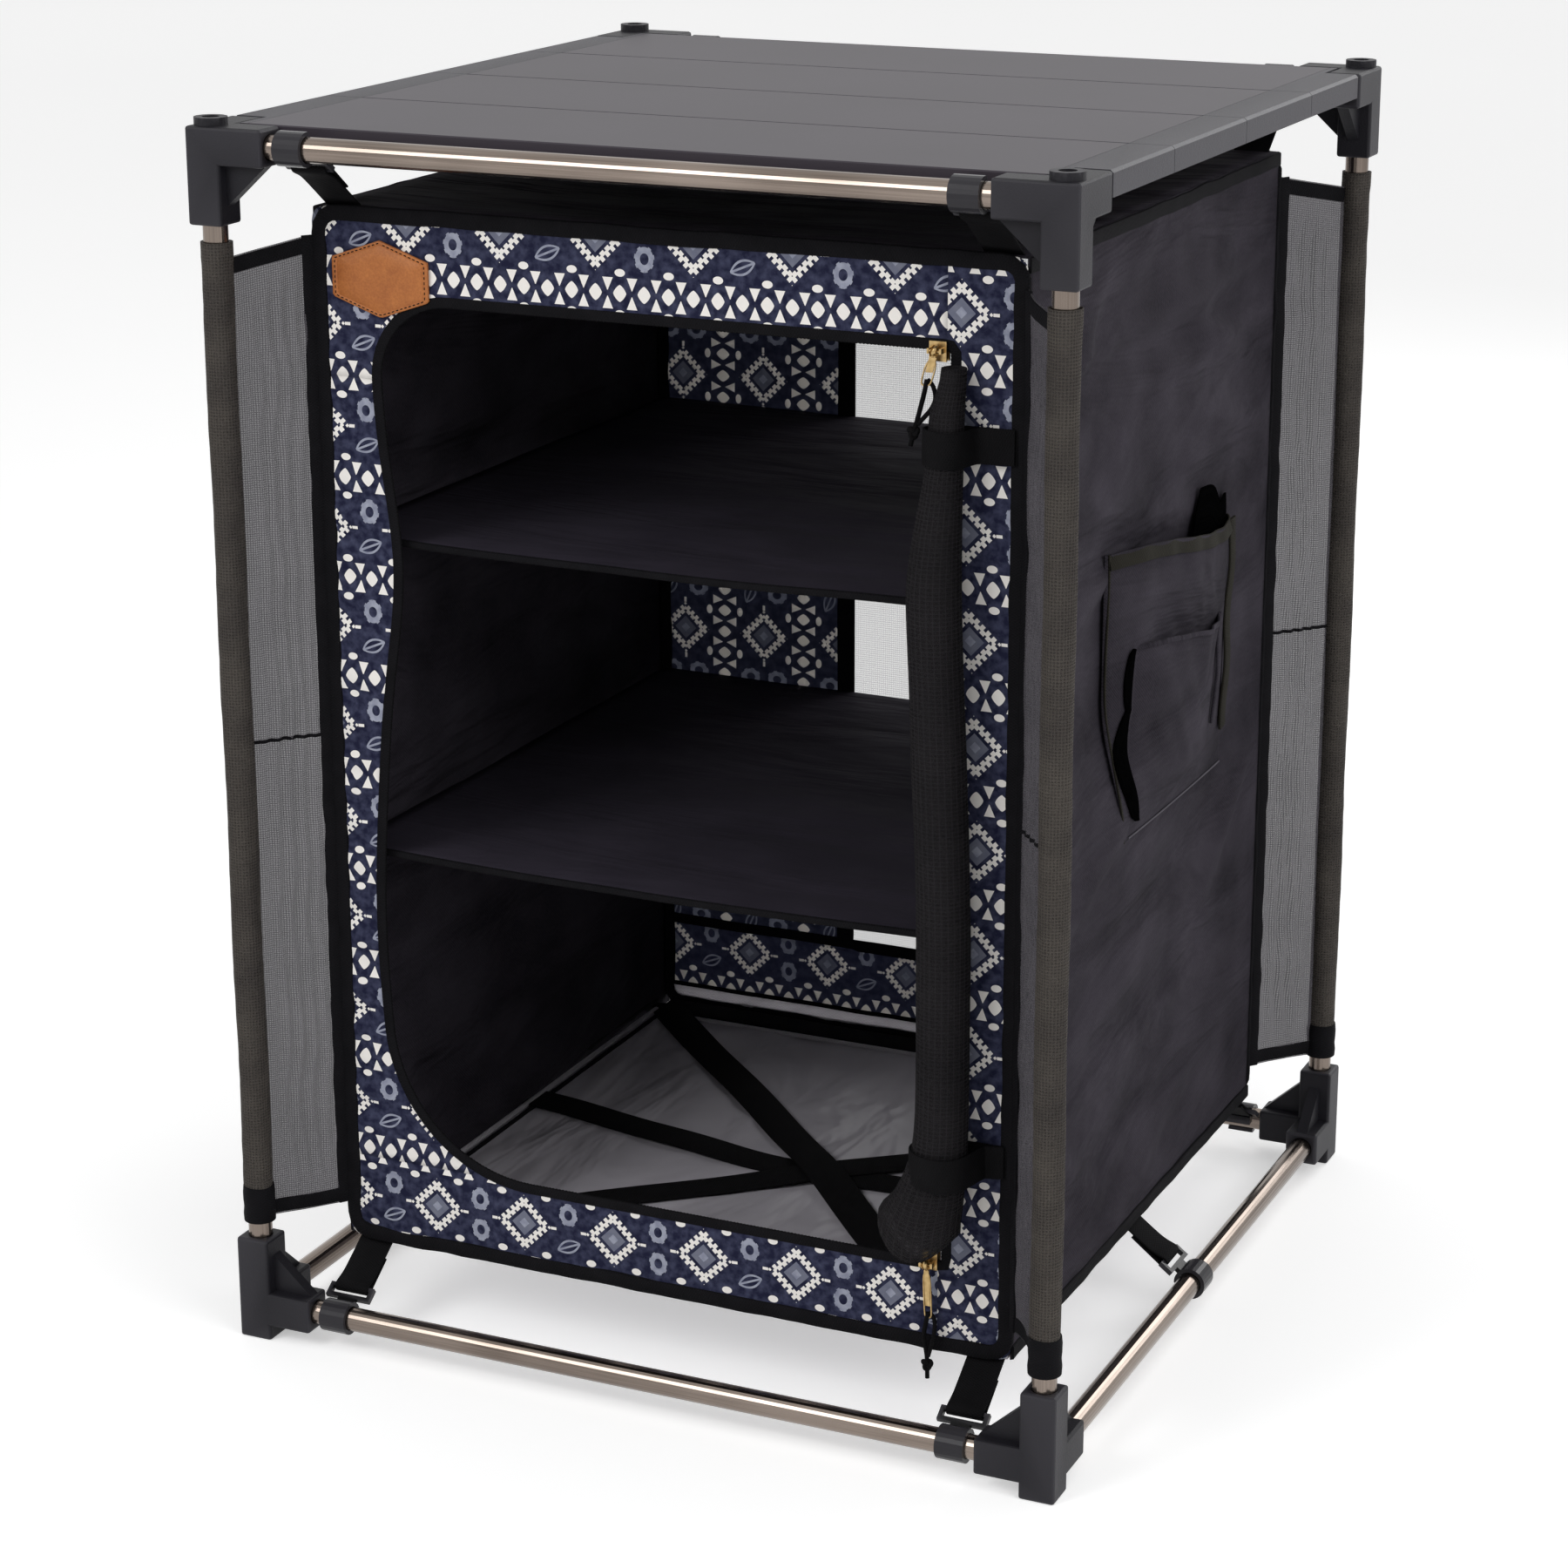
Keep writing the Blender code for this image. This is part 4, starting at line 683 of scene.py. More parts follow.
def borderPiece(name, material, us, vs, stands=(), cut=None):
    bm = bmesh.new()
    addSheet(bm, us, vs, borderPlace, lambda u, v: not inOpening(u, v), cut)
    for vert in bm.verts:
        if vert.is_boundary and abs(vert.co.x) < border["half"] - 0.004 and \
                border["low"] + 0.004 < vert.co.z < border["high"] - 0.004:
            near = min(rim, key=lambda p: (p.x - vert.co.x) ** 2 + (p.z - vert.co.z) ** 2)
            if (near - vert.co).length < border["snap"]:
                vert.co.x, vert.co.z = near.x, near.z
    return makePiece(name, bm, material, slot="print_fabric", stands=stands, thick=border["thick"])


# the right strip's print leans a little on its cloth
def leanCut(x, z):
    return x - 0.0027 - 0.0143 * ease(0.700 - z, 0.0, 0.32) + 0.009 * ease(0.400 - z, 0.0, 0.25), z


cell, topFoot = border["cell"], opening["high"] - opening["top"]
leftColumns = steps(-border["half"], border["seam"], cell)
sideColumns = [x for x in leftColumns if x < border["left"]]
rightColumns = steps(border["seam"], border["half"], cell)
lowRows = steps(border["low"], opening["low"], cell)
sideRows = steps(opening["low"], topFoot, cell)
highRows = steps(topFoot, border["high"], cell)
footCloth = borderPiece("front_border_foot", footPrint, leftColumns, lowRows)
leftCloth = borderPiece("front_border_left", borderPrint, sideColumns, sideRows)
topCloth = borderPiece("front_border_top", borderPrint, leftColumns, highRows, ["cabinet_front_border"])
rightCloth = borderPiece("front_border_right", rightPrint, rightColumns, lowRows + sideRows[1:] + highRows[1:],
                         cut=leanCut)

binding = {"width": 0.0070, "thick": 0.0026, "over": 0.0028, "teeth": (0.0007, 0.0011), "tooth": 0.0012}


# moves a closed line in the border's plane outward from the opening
def outward(line):
    moved = []
    for i, point in enumerate(line):
        along = (line[(i + 1) % len(line)] - line[i - 1]).normalized()
        moved.append(point + Vector((along.z, 0, -along.x)) * binding["over"])
    return moved


def edgeRing(x, z0, z1, y, radius, step):
    x, z0, z1 = x - radius, z0 + radius, z1 - radius
    line = []
    for quarters, (cx, cz) in zip((3, 0, 1, 2), ((x, z0), (x, z1), (-x, z1), (-x, z0))):
        line += arc(cx, cz, radius, quarters, 4, y)
    return resample(line, step, closed=True)


stripPiece("opening_binding", bindingTape,
           [(outward(rim), (0, -1, 0), flatProfile(binding["width"], binding["thick"]), True)])
stripPiece("zip_coil", tapeBlack, [(openingLine(binding["tooth"]), (0, -1, 0),
                                    lambda i: roundProfile(binding["teeth"][i % 2], 8), True)])
edge = {"width": 0.0105, "thick": 0.0046, "inset": 0.0036, "radius": 0.012}
for name, y in (("front_edge_binding", -0.2410), ("back_edge_binding", 0.2410)):
    ring = edgeRing(border["half"] - edge["inset"], border["low"] + edge["inset"],
                    border["high"] - edge["inset"], y, edge["radius"], 0.006)
    ring = [p + Vector((0.0011 * ripple(p.z, p.x, 0.02, 5.0), 0.0008 * ripple(p.x, p.z, 0.016, 2.0),
                        0.0009 * ripple(p.x, p.z, 0.03, 9.0))) for p in ring]
    stripPiece(name, bindingTape, [(ring, (0, -1, 0), flatProfile(edge["width"], edge["thick"]), True)])
print("front border made")


# Leather label, left bare

label = {
    "middle": (-0.192, -0.2424, 0.717), "halfWidth": 0.0345, "halfHeight": 0.0245, "side": 0.0125, "thick": 0.0016,
    # rings from the back over the rounded edge, the pressed groove and the slightly domed face: size and height
    "rings": ((1.0, 0.0), (1.0, 0.6), (0.985, 0.92), (0.955, 1.0), (0.90, 1.0), (0.885, 0.8), (0.87, 1.0),
              (0.5, 1.04), (0.1, 1.05)),
    "stitch": 0.0016, "stitchRing": 0.93, "threadRadius": 0.00035,
}
bm = bmesh.new()
centre = Vector(label["middle"])
w, h, s = label["halfWidth"], label["halfHeight"], label["side"]
corners = [(0, h), (-w, s), (-w, -s), (0, -h), (w, -s), (w, s)]
outline = resample([(x, 0, z) for x, z in corners], 0.003, closed=True)
rings = [[bm.verts.new(centre + Vector((p.x * grow, -label["thick"] * lift, p.z * grow))) for p in outline]
         for grow, lift in label["rings"]]
for a, b in zip(rings, rings[1:]):
    for i in range(len(a)):
        j = (i + 1) % len(a)
        bm.faces.new((a[i], a[j], b[j], b[i]))
bm.faces.new(rings[0][::-1])
bm.faces.new(rings[-1])
makePiece("leather_label", bm, labelLeather, sharp=60)
grow, face = label["stitchRing"], centre - Vector((0, label["thick"] + 0.0001, 0))
stitch = resample([(p.x * grow, 0, p.z * grow) for p in outline], label["stitch"], closed=True)
stripPiece("label_stitching", bindingTape,
           [([face + a.lerp(b, t) for t in (0.0, 0.5, 1.0)], (0, -1, 0), roundProfile(label["threadRadius"], 6))
            for a, b in list(zip(stitch, stitch[1:]))[::2]])


# Side panels, top, back, shelves and floor

panel = {
    "x": 0.2384, "y": 0.2395, "low": 0.0605, "high": 0.760, "cell": 0.006, "thick": 0.0012,
    "bulge": 0.0052, "crease": 0.0046, "rest": 0.0010, "least": -0.0012,
    # each fold: y and z of a point on it, its direction in degrees, reach, width, height
    "folds": ((0.00, 0.690, 1, 0.30, 0.009, 1.5), (0.00, 0.668, 1, 0.30, 0.008, -1.1),
              (0.00, 0.652, 1, 0.30, 0.008, 0.8), (0.02, 0.205, 2, 0.30, 0.009, 0.8),
              (-0.10, 0.575, -9, 0.16, 0.011, 1.5), (0.12, 0.600, -12, 0.14, 0.010, 1.4),
              (-0.12, 0.530, 14, 0.10, 0.010, 1.2), (0.11, 0.655, -24, 0.09, 0.011, 1.1),
              (-0.17, 0.690, 35, 0.06, 0.010, 1.2), (0.16, 0.300, 40, 0.08, 0.012, 1.1),
              (-0.13, 0.330, 20, 0.10, 0.010, 1.1), (-0.15, 0.150, -33, 0.08, 0.012, 1.2),
              (0.05, 0.120, 18, 0.12, 0.014, 1.0)),
    "hem": 0.005, "hemX": 0.2403,
}


def foldRelief(y, z, seed):
    total = 1.2 * ripple(y, z, 0.16, seed) + 0.35 * ripple(y, z, 0.045, seed + 4)
    total *= panel["bulge"]
    for fy, fz, turn, reach, width, height in panel["folds"]:
        a = math.radians(turn)
        along = (y - fy) * math.cos(a) + (z - fz) * math.sin(a)
        across = -(y - fy) * math.sin(a) + (z - fz) * math.cos(a)
        total += panel["crease"] * height * gauss(along, 0, reach) * gauss(across, 0, width)
    hold = ease(0.2400 - abs(y), 0.0, 0.03) * ease(z - panel["low"], 0.0, 0.03) * ease(panel["high"] - z, 0.0, 0.03)
    return total * hold


for side, name in ((-1, "left"), (1, "right")):
    def sidePlace(y, z):
        lift = max(panel["least"], panel["rest"] + foldRelief(y, z, side * 3.0 + 5))
        return Vector((side * (panel["x"] + lift), y, z))
    cloth = sheetPiece(f"{name}_side_cloth", sideCloth, steps(-panel["y"], panel["y"], panel["cell"]),
                       steps(panel["low"], panel["high"], panel["cell"]), sidePlace,
                       stands=[f"cabinet_{name}_side"], thick=panel["thick"])
    hems = [[(side * (panel["hemX"] + 0.0006 * ripple(y, z, 0.02)), y, z + 0.0010 * ripple(y, z, 0.03, 4))
             for y in steps(-panel["y"], panel["y"], 0.008)]
            for z in (panel["low"] + panel["hem"], panel["high"] - panel["hem"])]
    stripPiece(f"{name}_side_hems", bindingTape,
               [(line, (side, 0, 0), flatProfile(0.0095, 0.0024)) for line in hems])

top = {"z": 0.7595, "sag": 0.006, "half": 0.2385, "cell": 0.012, "thick": 0.0012}


def topPlace(x, y):
    middle = (1 - (x / top["half"]) ** 2) * (1 - (y / top["half"]) ** 2)
    return Vector((x, y, top["z"] - top["sag"] * middle + 0.0012 * ripple(x, y, 0.06, 1.0)))


across = steps(-top["half"], top["half"], top["cell"])
cloth = sheetPiece("top_cloth", sideCloth, across, across, topPlace, stands=["cabinet_top"], thick=top["thick"])

window = {
    "y": 0.241, "half": 0.082, "low": 0.1310, "high": 0.7025, "cell": 0.008, "thick": 0.0012, "net": 0.0006,
    "binding": 0.008, "turnup": 0.0775, "turnupHalf": 0.2365,
    "rows": ((0.1330, 0.008), (0.0788, 0.0036), (0.0640, 0.0066)),    # tapes across: height and width
    "post": 0.011,                                                    # width of the tapes beside the window
}


def backPlace(x, z):
    x, z = roundCorner(x, z)
    return Vector((x, window["y"] + 0.0010 * ripple(x, z, 0.05, 6.0), z))


def backCloth(name, material, us, vs, stands=()):
    return sheetPiece(name, material, us, vs, backPlace,
                      lambda u, v: abs(u) > window["half"] or not window["low"] < v < window["high"],
                      slot="print_fabric", stands=stands, thick=window["thick"])


half, cell = window["half"], window["cell"]
backColumns = steps(-border["half"], -half, cell) + steps(-half, half, cell)[1:] \
    + steps(half, border["half"], cell)[1:]
backRows = steps(window["low"], window["high"], cell) + steps(window["high"], border["high"], cell)[1:]
backMain = backCloth("back_cloth", backPrintPaintedBacklight, backColumns, backRows, ["cabinet_back"])
backFoot = backCloth("back_cloth_foot", backFootPrintPaintedBacklight, backColumns, steps(window["turnup"], window["low"], cell))
netCloth = sheetPiece("window_net", windowNet, steps(-half, half, 0.012), steps(window["low"], window["high"], 0.012),
                      lambda x, z: Vector((x, window["y"] - 0.0003 + 0.0012 * ripple(x, z, 0.08, 2.0), z)),
                      slot="net", thick=window["net"])
strips = [(edgeRing(half, window["low"], window["high"], window["y"], 0.004, 0.008), (0, -1, 0),
           flatProfile(window["binding"], 0.0026), True)]
for z, width in window["rows"]:
    line = [backPlace(x, z) + Vector((0, -0.0016, 0.0004 * ripple(x, z, 0.03))) for x in steps(-0.234, 0.234, 0.01)]
    strips.append((line, (0, -1, 0), flatProfile(width, 0.0014)))
for x in (-half - 0.004, half + 0.004):
    line = [backPlace(x, z) + Vector((0, -0.0014, 0)) for z in steps(window["low"], 0.755, 0.01)]
    strips.append((line, (0, -1, 0), flatProfile(window["post"], 0.0014)))
stripPiece("window_binding", bindingTape, strips)
# the coated floor turned up inside the back, coloured much lighter than the floor itself as painted light
sheetPiece("floor_turnup", pipingClothPaintedLight, steps(-window["turnupHalf"], window["turnupHalf"], 0.008),
           steps(0.0610, 0.0790, 0.006), lambda x, z: backPlace(x, z) - Vector((0, 0.0008, 0)),
           slot="floor_fabric", thick=window["thick"])

shelf = {
    "half": 0.2375, "front": -0.2337, "rear": 0.2395, "sag": 0.0040, "thick": 0.0022, "cell": 0.010,
    "lower": 0.3350, "upper": 0.5470, "hem": (0.0050, 0.0040),
}
for name in ("lower", "upper"):
    def shelfPlace(x, y, z=shelf[name]):
        droop = shelf["sag"] * (1 - (x / shelf["half"]) ** 2) * (0.4 + 0.6 * ease(-y, -0.2, 0.2))
        return Vector((x, y, z - droop + 0.0008 * ripple(x, y, 0.07, z * 10)))
    cloth = sheetPiece(f"shelf_{name}_cloth", shelfCloth, steps(-shelf["half"], shelf["half"], shelf["cell"]),
                       steps(shelf["front"], shelf["rear"], shelf["cell"]), shelfPlace, stands=["shelf_" + name],
                       thick=shelf["thick"])
    line = [shelfPlace(x, shelf["front"] + 0.0015) for x in steps(-shelf["half"], shelf["half"], 0.01)]
    stripPiece(f"shelf_{name}_hem", bindingTape, [(line, (0, -1, 0), flatProfile(*shelf["hem"]))])

floor = {
    "z": 0.0617, "half": 0.2372, "rear": 0.2395, "cell": 0.0065, "wrinkle": 0.0017, "thick": 0.0020,
    # across, height and radius or width
    "welt": (0.2338, 0.0652, 0.0021), "rearWelt": (0.2085, 0.0638, 0.0019),
    "tape": (0.2288, 0.0638, 0.0036), "rearTape": (0.2245, 0.0644, 0.0260),
}


def floorPlace(x, y):
    along, across = x * 0.6 + y * 0.8, -x * 0.8 + y * 0.6
    relief = noise.noise(Vector((along / 0.16, across / 0.035, 1.0))) + 0.5 * ripple(x, y, 0.028, 8.0)
    return Vector((x, y, floor["z"] + floor["wrinkle"] * relief))


cloth = sheetPiece("floor_cloth", floorCoat, steps(-floor["half"], floor["half"], floor["cell"]),
                   steps(-floor["rear"], floor["rear"], floor["cell"]), floorPlace, slot="floor_fabric",
                   stands=["cabinet_floor"], thick=floor["thick"])

strap = {
    "width": 0.028, "thick": 0.0014, "z": 0.0646, "stack": 0.0016, "crossing": (0.01, -0.03),
    "mid": [(-0.236, 0.012), (-0.180, 0.004), (-0.120, -0.010), (-0.018, -0.030), (0.080, -0.026),
            (0.170, -0.006), (0.236, 0.010)],
    "left": [(-0.230, -0.222), (-0.165, -0.180), (-0.101, -0.129), (-0.032, -0.068), (0.045, -0.004),
             (0.130, 0.080), (0.230, 0.190)],
    "right": [(-0.228, 0.226), (-0.226, 0.214), (-0.056, 0.050), (0.092, -0.112), (0.185, -0.222)],
}
for index, name in enumerate(("mid", "left", "right")):
    path = resample(smoothLine([(x, y, 0) for x, y in strap[name]], 3), 0.008)
    # each strap is lifted over the ones below it where they cross
    lifts = [index * strap["stack"] * gauss((p.xy - Vector(strap["crossing"])).length, 0, 0.05) for p in path]
    path = [Vector((p.x, p.y, strap["z"] + lift + 0.0006 * math.sin(p.x / 0.02))) for p, lift in zip(path, lifts)]
    stripPiece("floor_strap_" + name, tapeBlack, [(path, (0, 0, 1), flatProfile(strap["width"], strap["thick"]))])

# light piping along the floor's edges, its pale colour a painted highlight
x, z, radius = floor["welt"]
strips = [([(side * x, y, z) for y in steps(-0.225, 0.212, 0.02)], (0, 0, 1), roundProfile(radius, 8))
          for side in (-1, 1)]
y, z, radius = floor["rearWelt"]
strips.append(([(x, y, z) for x in steps(-0.225, 0.225, 0.02)], (0, 0, 1), roundProfile(radius, 8)))
stripPiece("floor_welts", pipingClothPaintedLight, strips, slot="floor_fabric")
y, z, width = floor["rearTape"]
strips = [([(x, y + 0.001 * math.sin(x / 0.04), z) for x in steps(-0.232, 0.232, 0.02)], (0, 0, 1),
           flatProfile(width, 0.0020))]
x, z, width = floor["tape"]
strips += [([(side * x, y, z) for y in steps(-0.232, 0.212, 0.02)], (0, 0, 1), flatProfile(width, 0.0020))
           for side in (-1, 1)]
stripPiece("floor_hems", bindingTape, strips)
print("cabinet cloth made")


# Wings: net between the uprights and the cabinet's corners, on a sleeve

frameCorners = (("front_left", -1, -1), ("front_right", 1, -1), ("rear_right", 1, 1), ("rear_left", -1, 1))
wing = {
    "post": (0.281, 0.290), "reach": (0.041, 0.048),     # the upright's axis, and from it to the cabinet's corner
    "outer": 0.0095, "length": 0.0612, "low": 0.084, "high": 0.742, "rise": 0.010, "net": 0.0005,
    "ripple": 0.0022, "gather": 0.0017, "gatherWidth": 0.0088,
    "hem": (0.010, 0.0016), "hemIn": 0.006, "seam": 0.415, "seamTape": (0.0025, 0.0016), "edge": (0.0080, 0.0024),
    "sleeve": 0.0006, "sides": 28, "sideWidth": 0.0021, "cuff": 0.024,
}
low, high, outer = wing["low"], wing["high"], wing["outer"]
for corner, sx, sy in frameCorners:
    post = Vector((sx * wing["post"][0], sy * wing["post"][1], 0))
    toward = Vector((-sx * wing["reach"][0], -sy * wing["reach"][1], 0)).normalized()
    aside = Vector((-toward.y, toward.x, 0))
    seed = 3.0 * sx + 7.0 * sy

    def wingPlace(u, v):
        share = (u - outer) / (wing["length"] - outer)
        height = v - wing["rise"] * (1 - share) * ease(v, 0.60, high)
        hang = math.sin(math.pi * share)
        sway = wing["ripple"] * hang * (math.sin(v / 0.019 + 2.5 * ripple(u, v, 0.05, seed)) * 0.5
                                        + ripple(u, v, 0.030, seed))
        held = ease(v - low, 0.006, 0.05) * ease(high - v, 0.006, 0.05)
        sway += wing["gather"] * hang * held * math.sin(2 * math.pi * u / wing["gatherWidth"]
                                                        + 5 * ripple(u, v, 0.055, seed))
        return post + toward * u + aside * sway + Vector((0, 0, height))

    def sleevePlace(u, z):
        a = 2 * math.pi * u / (wing["sides"] * wing["sideWidth"])
        loose = 0.00035 * math.sin(3 * a + z / 0.03) + 0.0003 * ripple(a * 0.02, z, 0.012, seed)
        radius = outer + loose + (0.0004 if z > high - 0.012 else 0.0)
        return post + Vector((radius * math.cos(a), radius * math.sin(a), z))

    net = sheetPiece("wing_net_" + corner, wingNet, steps(outer - 0.001, wing["length"], 0.0018),
                     steps(low, high, 0.006), wingPlace, slot="net", stands=["wing_" + corner], thick=wing["net"])
    strips = []
    for height, tape in ((high - wing["hemIn"], "hem"), (low + wing["hemIn"], "hem"), (wing["seam"], "seamTape")):
        line = [wingPlace(u, height) for u in steps(outer, wing["length"], 0.0025)]
        strips.append((line, aside, flatProfile(*wing[tape])))
    line = [wingPlace(wing["length"] - 0.002, v) + aside * 0.0004 for v in steps(low, high, 0.006)]
    line = [p + toward * 0.0012 * ripple(p.z, 0.0, 0.018, seed) for p in line]
    strips.append((line, aside, flatProfile(*wing["edge"])))
    stripPiece("wing_hems_" + corner, bindingTape, strips)
    around = [i * wing["sideWidth"] for i in range(wing["sides"] + 1)]
    sleeve = sheetPiece("wing_sleeve_" + corner, sleeveNet, around, steps(low, high, 0.005),
                        sleevePlace, closed=True, slot="net", thick=wing["sleeve"])
    foot = [post + Vector((0, 0, z)) for z in steps(low - 0.001, low + wing["cuff"], 0.005)]
    stripPiece("wing_sleeve_hem_" + corner, bindingTape, [(foot, (0, -1, 0), lambda i: roundProfile(
        outer + 0.0011 + 0.0003 * math.sin(2.2 * i), wing["sides"]))])
print("wings made")


# Rolled door: a spiral of net, held by two bands

roll = {
    "right": 0.217, "rear": -0.2438, "radius": 0.0178, "topRadius": 0.0112, "lean": 0.011, "core": 0.0030,
    "low": 0.139, "high": 0.694, "neck": 0.660, "taper": 0.110, "turns": 5.7, "cloth": 0.389, "thick": 0.0007,
    "flare": 0.044, "spread": 0.72, "drift": 0.95, "start": -2.1,
    "bands": (0.195, 0.6475), "bandWidth": 0.022, "bandThick": 0.0014, "tabEnd": 0.236,
}


def rollRadius(z):
    neck = roll["topRadius"] - 0.0035 * ease(z, roll["neck"], roll["high"])
    return neck + (roll["radius"] - neck) * ease(roll["neck"] - z, 0.0, roll["taper"])


def rollSide(z):
    return roll["right"] - roll["lean"] * ease(z, 0.30, roll["neck"])


# share runs along the cloth from the core to the free end
def rollPlace(share, z):
    full = rollRadius(z)
    flare = gauss(z, roll["low"], roll["flare"]) * ease(share, 0.25, 1.0)
    radius = (roll["core"] + (full - roll["core"]) * share) * (1 + 0.035 * ripple(z, share, 0.06, 2.0))
    angle = 2 * math.pi * roll["turns"] * share + roll["start"]
    # the foot's edge tucks up, waves a little and rises toward the core
    lift = 0.020 * math.cos(angle) ** 2 * share * gauss(z, roll["low"], 0.022)
    lift += 0.012 * ripple(share * 0.3, 0.0, 0.05, 4.0) * gauss(z, roll["low"], 0.03)
    lift += 0.010 * (1 - share) * gauss(z, roll["low"], 0.05)
    return Vector((rollSide(z) - full * (1 + roll["drift"] * flare)
                   + radius * (1 + roll["spread"] * flare) * math.cos(angle),
                   roll["rear"] - full + radius * (1 + 0.05 * flare) * math.sin(angle), z + lift))


doorRoll = sheetPiece("door_roll", doorNet, steps(0.0, 1.0, 1 / 150), steps(roll["low"], roll["high"], 0.007),
                      rollPlace, cut=lambda share, z: (share * roll["cloth"], z), slot="net",
                      stands=["rolled_door"], thick=roll["thick"])
for index, z in enumerate(roll["bands"]):
    full = rollRadius(z) + roll["bandThick"]
    cx, cy = rollSide(z) - rollRadius(z), roll["rear"] - rollRadius(z)
    path = [(roll["tabEnd"], roll["rear"] + 0.0008, z), (cx + full * 0.6, roll["rear"] + 0.0006, z)]
    for i in range(25):
        a = math.radians(95 + i * 245 / 24)
        path.append((cx + full * math.cos(a), cy + full * math.sin(a), z + 0.0006 * math.sin(a * 2)))
    path.append((rollSide(z) + 0.006, roll["rear"] - 0.0035, z + 0.0005))
    path.append((roll["tabEnd"] - 0.0015, roll["rear"] - 0.0009, z + 0.0005))
    path = resample(path, 0.003)
    stripPiece(f"roll_band_{index + 1}", tapeBlack,
                            [(path, facing(path, Vector((0, 0, 1))),
                              flatProfile(roll["bandWidth"], roll["bandThick"]))])
print("rolled door made")


# Webbing straps from the clips to the cabinet

webbing = {
    "width": 0.025, "thick": 0.0016, "bar": 0.0225, "barHalf": 0.00275, "under": 0.0201, "tail": 0.050,
    "x": 0.222, "root": 0.010, "inset": 0.048, "sideInset": 0.041,
    "levels": {"bottom": (0.0225, 0.039, 1), "top": (0.8025, -0.043, -1)},    # clip's height, strap's rise, side
}


# from the free tail round the buckle's bar and on to the cabinet, as offset and distance
def tiePath(length):
    t = webbing
    return [(0.0024, t["tail"]), (0.0026, 0.035), (t["barHalf"], t["bar"] + 0.002), (t["barHalf"], t["bar"]),
            (0.0018, t["under"] + 0.0003), (0, t["under"]), (-0.0018, t["under"] + 0.0003),
            (-t["barHalf"], t["bar"]), (-t["barHalf"], t["bar"] + 0.002), (-0.0008, 0.031), (0, 0.038), (0, length)]


ties = [(f"{level}_{corner}", level, (sx * webbing["x"], sy * wing["post"][1]), (0, -sy, 0), webbing["inset"])
        for level in webbing["levels"] for corner, sx, sy in frameCorners]
ties += [("bottom_" + name, "bottom", (sx * wing["post"][0], 0), (-sx, 0, 0), webbing["sideInset"])
         for name, sx in (("left", -1), ("right", 1))]
for name, level, foot, inward, inset in ties:
    z, rise, flip = webbing["levels"][level]
    foot, inward, run = Vector((*foot, z)), Vector(inward), inset + webbing["root"]
    length = math.hypot(rise, run)
    along = (inward * run + Vector((0, 0, rise))) / length
    side = Vector((0, 0, 1)).cross(inward)
    normal = side.cross(along).normalized() * flip
    path = [foot + along * p.y + normal * p.x for p in smoothLine([(n, a, 0) for n, a in tiePath(length)], 2)]
    path = resample(path, 0.0016)
    stripPiece("webbing_" + name, tapeBlack,
               [(path, facing(path, side), flatProfile(webbing["width"], webbing["thick"]))])
print("webbing made")


# Side pocket: a large gusseted pocket with a smaller one on its front

pocket = {
    "foot": 0.2404, "fullness": 0.62, "thick": 0.0012, "seam": 0.0006,
    # sag: how far the mouth hangs down at the rear; gather: how far the foot's front corner is drawn in
    "large": {"y": (-0.101, 0.144), "z": (0.347, 0.551), "bulge": 0.020, "sag": 0.026, "gather": 0.046,
              "hem": 0.010, "rear": 0.011},
    "small": {"y": (-0.071, 0.114), "z": (0.359, 0.484), "bulge": 0.0245, "sag": 0.018, "gather": 0.034,
              "hem": 0.0035, "rear": 0.0035},
}


def pocketPlace(which, foot, seed):
    size = pocket[which]
    (y0, y1), (z0, z1) = size["y"], size["z"]

    def place(y, z):
        u, v = (y - y0) / (y1 - y0), (z - z0) / (z1 - z0)
        lift = math.sin(math.pi * min(max(u, 0.0), 1.0)) ** pocket["fullness"]
        lift *= size["bulge"] * (0.18 + 0.82 * v) * ease(v, -0.05, 0.10)
        across = math.cos(0.6) * y + math.sin(0.6) * z
        folds = 0.0046 * ripple(across, z * 0.35, 0.024, seed) * math.sin(math.pi * u) * ease(v, 0.0, 0.2)
        drawn = size["gather"] * ease(0.55 - v, 0.0, 0.55) * (1 - u)
        drop = size["sag"] * ease(u, 0.05, 0.95) * v ** 1.5
        return Vector((foot + lift + folds, y + drawn, z - drop))
    return place


largePlace = pocketPlace("large", pocket["foot"], 2.0)
smallPlace = pocketPlace("small", pocket["foot"] + 0.0012, 6.0)
for name, place, hemCloth in (("large", largePlace, oliveTape), ("small", smallPlace, sideCloth)):
    size = pocket[name]
    (y0, y1), (z0, z1) = size["y"], size["z"]
    cloth = sheetPiece(f"pocket_{name}", sideCloth, steps(y0, y1, 0.005), steps(z0, z1, 0.005), place,
                       stands=["side_pocket"] if name == "large" else [], thick=pocket["thick"])
    mouth = [place(y, z1 - size["hem"] / 2) + Vector((0.0008, 0, 0)) for y in steps(y0 + 0.002, y1 - 0.002, 0.005)]
    rear = [place(y1 - 0.007, z) + Vector((0.0032, 0.0026 * math.sin(z / 0.013), 0))
            for z in steps(z0 + 0.030, z1, 0.005)]
    front = [place(y0 + 0.002, z) + Vector((0.0006, 0.0012 * math.sin(z / 0.016), 0)) for z in steps(z0, z1, 0.005)]
    stripPiece(f"pocket_{name}_hems", hemCloth,
               [(mouth, (1, 0, 0.2), flatProfile(size["hem"], 0.0016)),
                (rear, (1, 0, 0), flatProfile(size["rear"], 0.0020)),
                (front, (1, 0, 0), flatProfile(0.0022, 0.0016))])

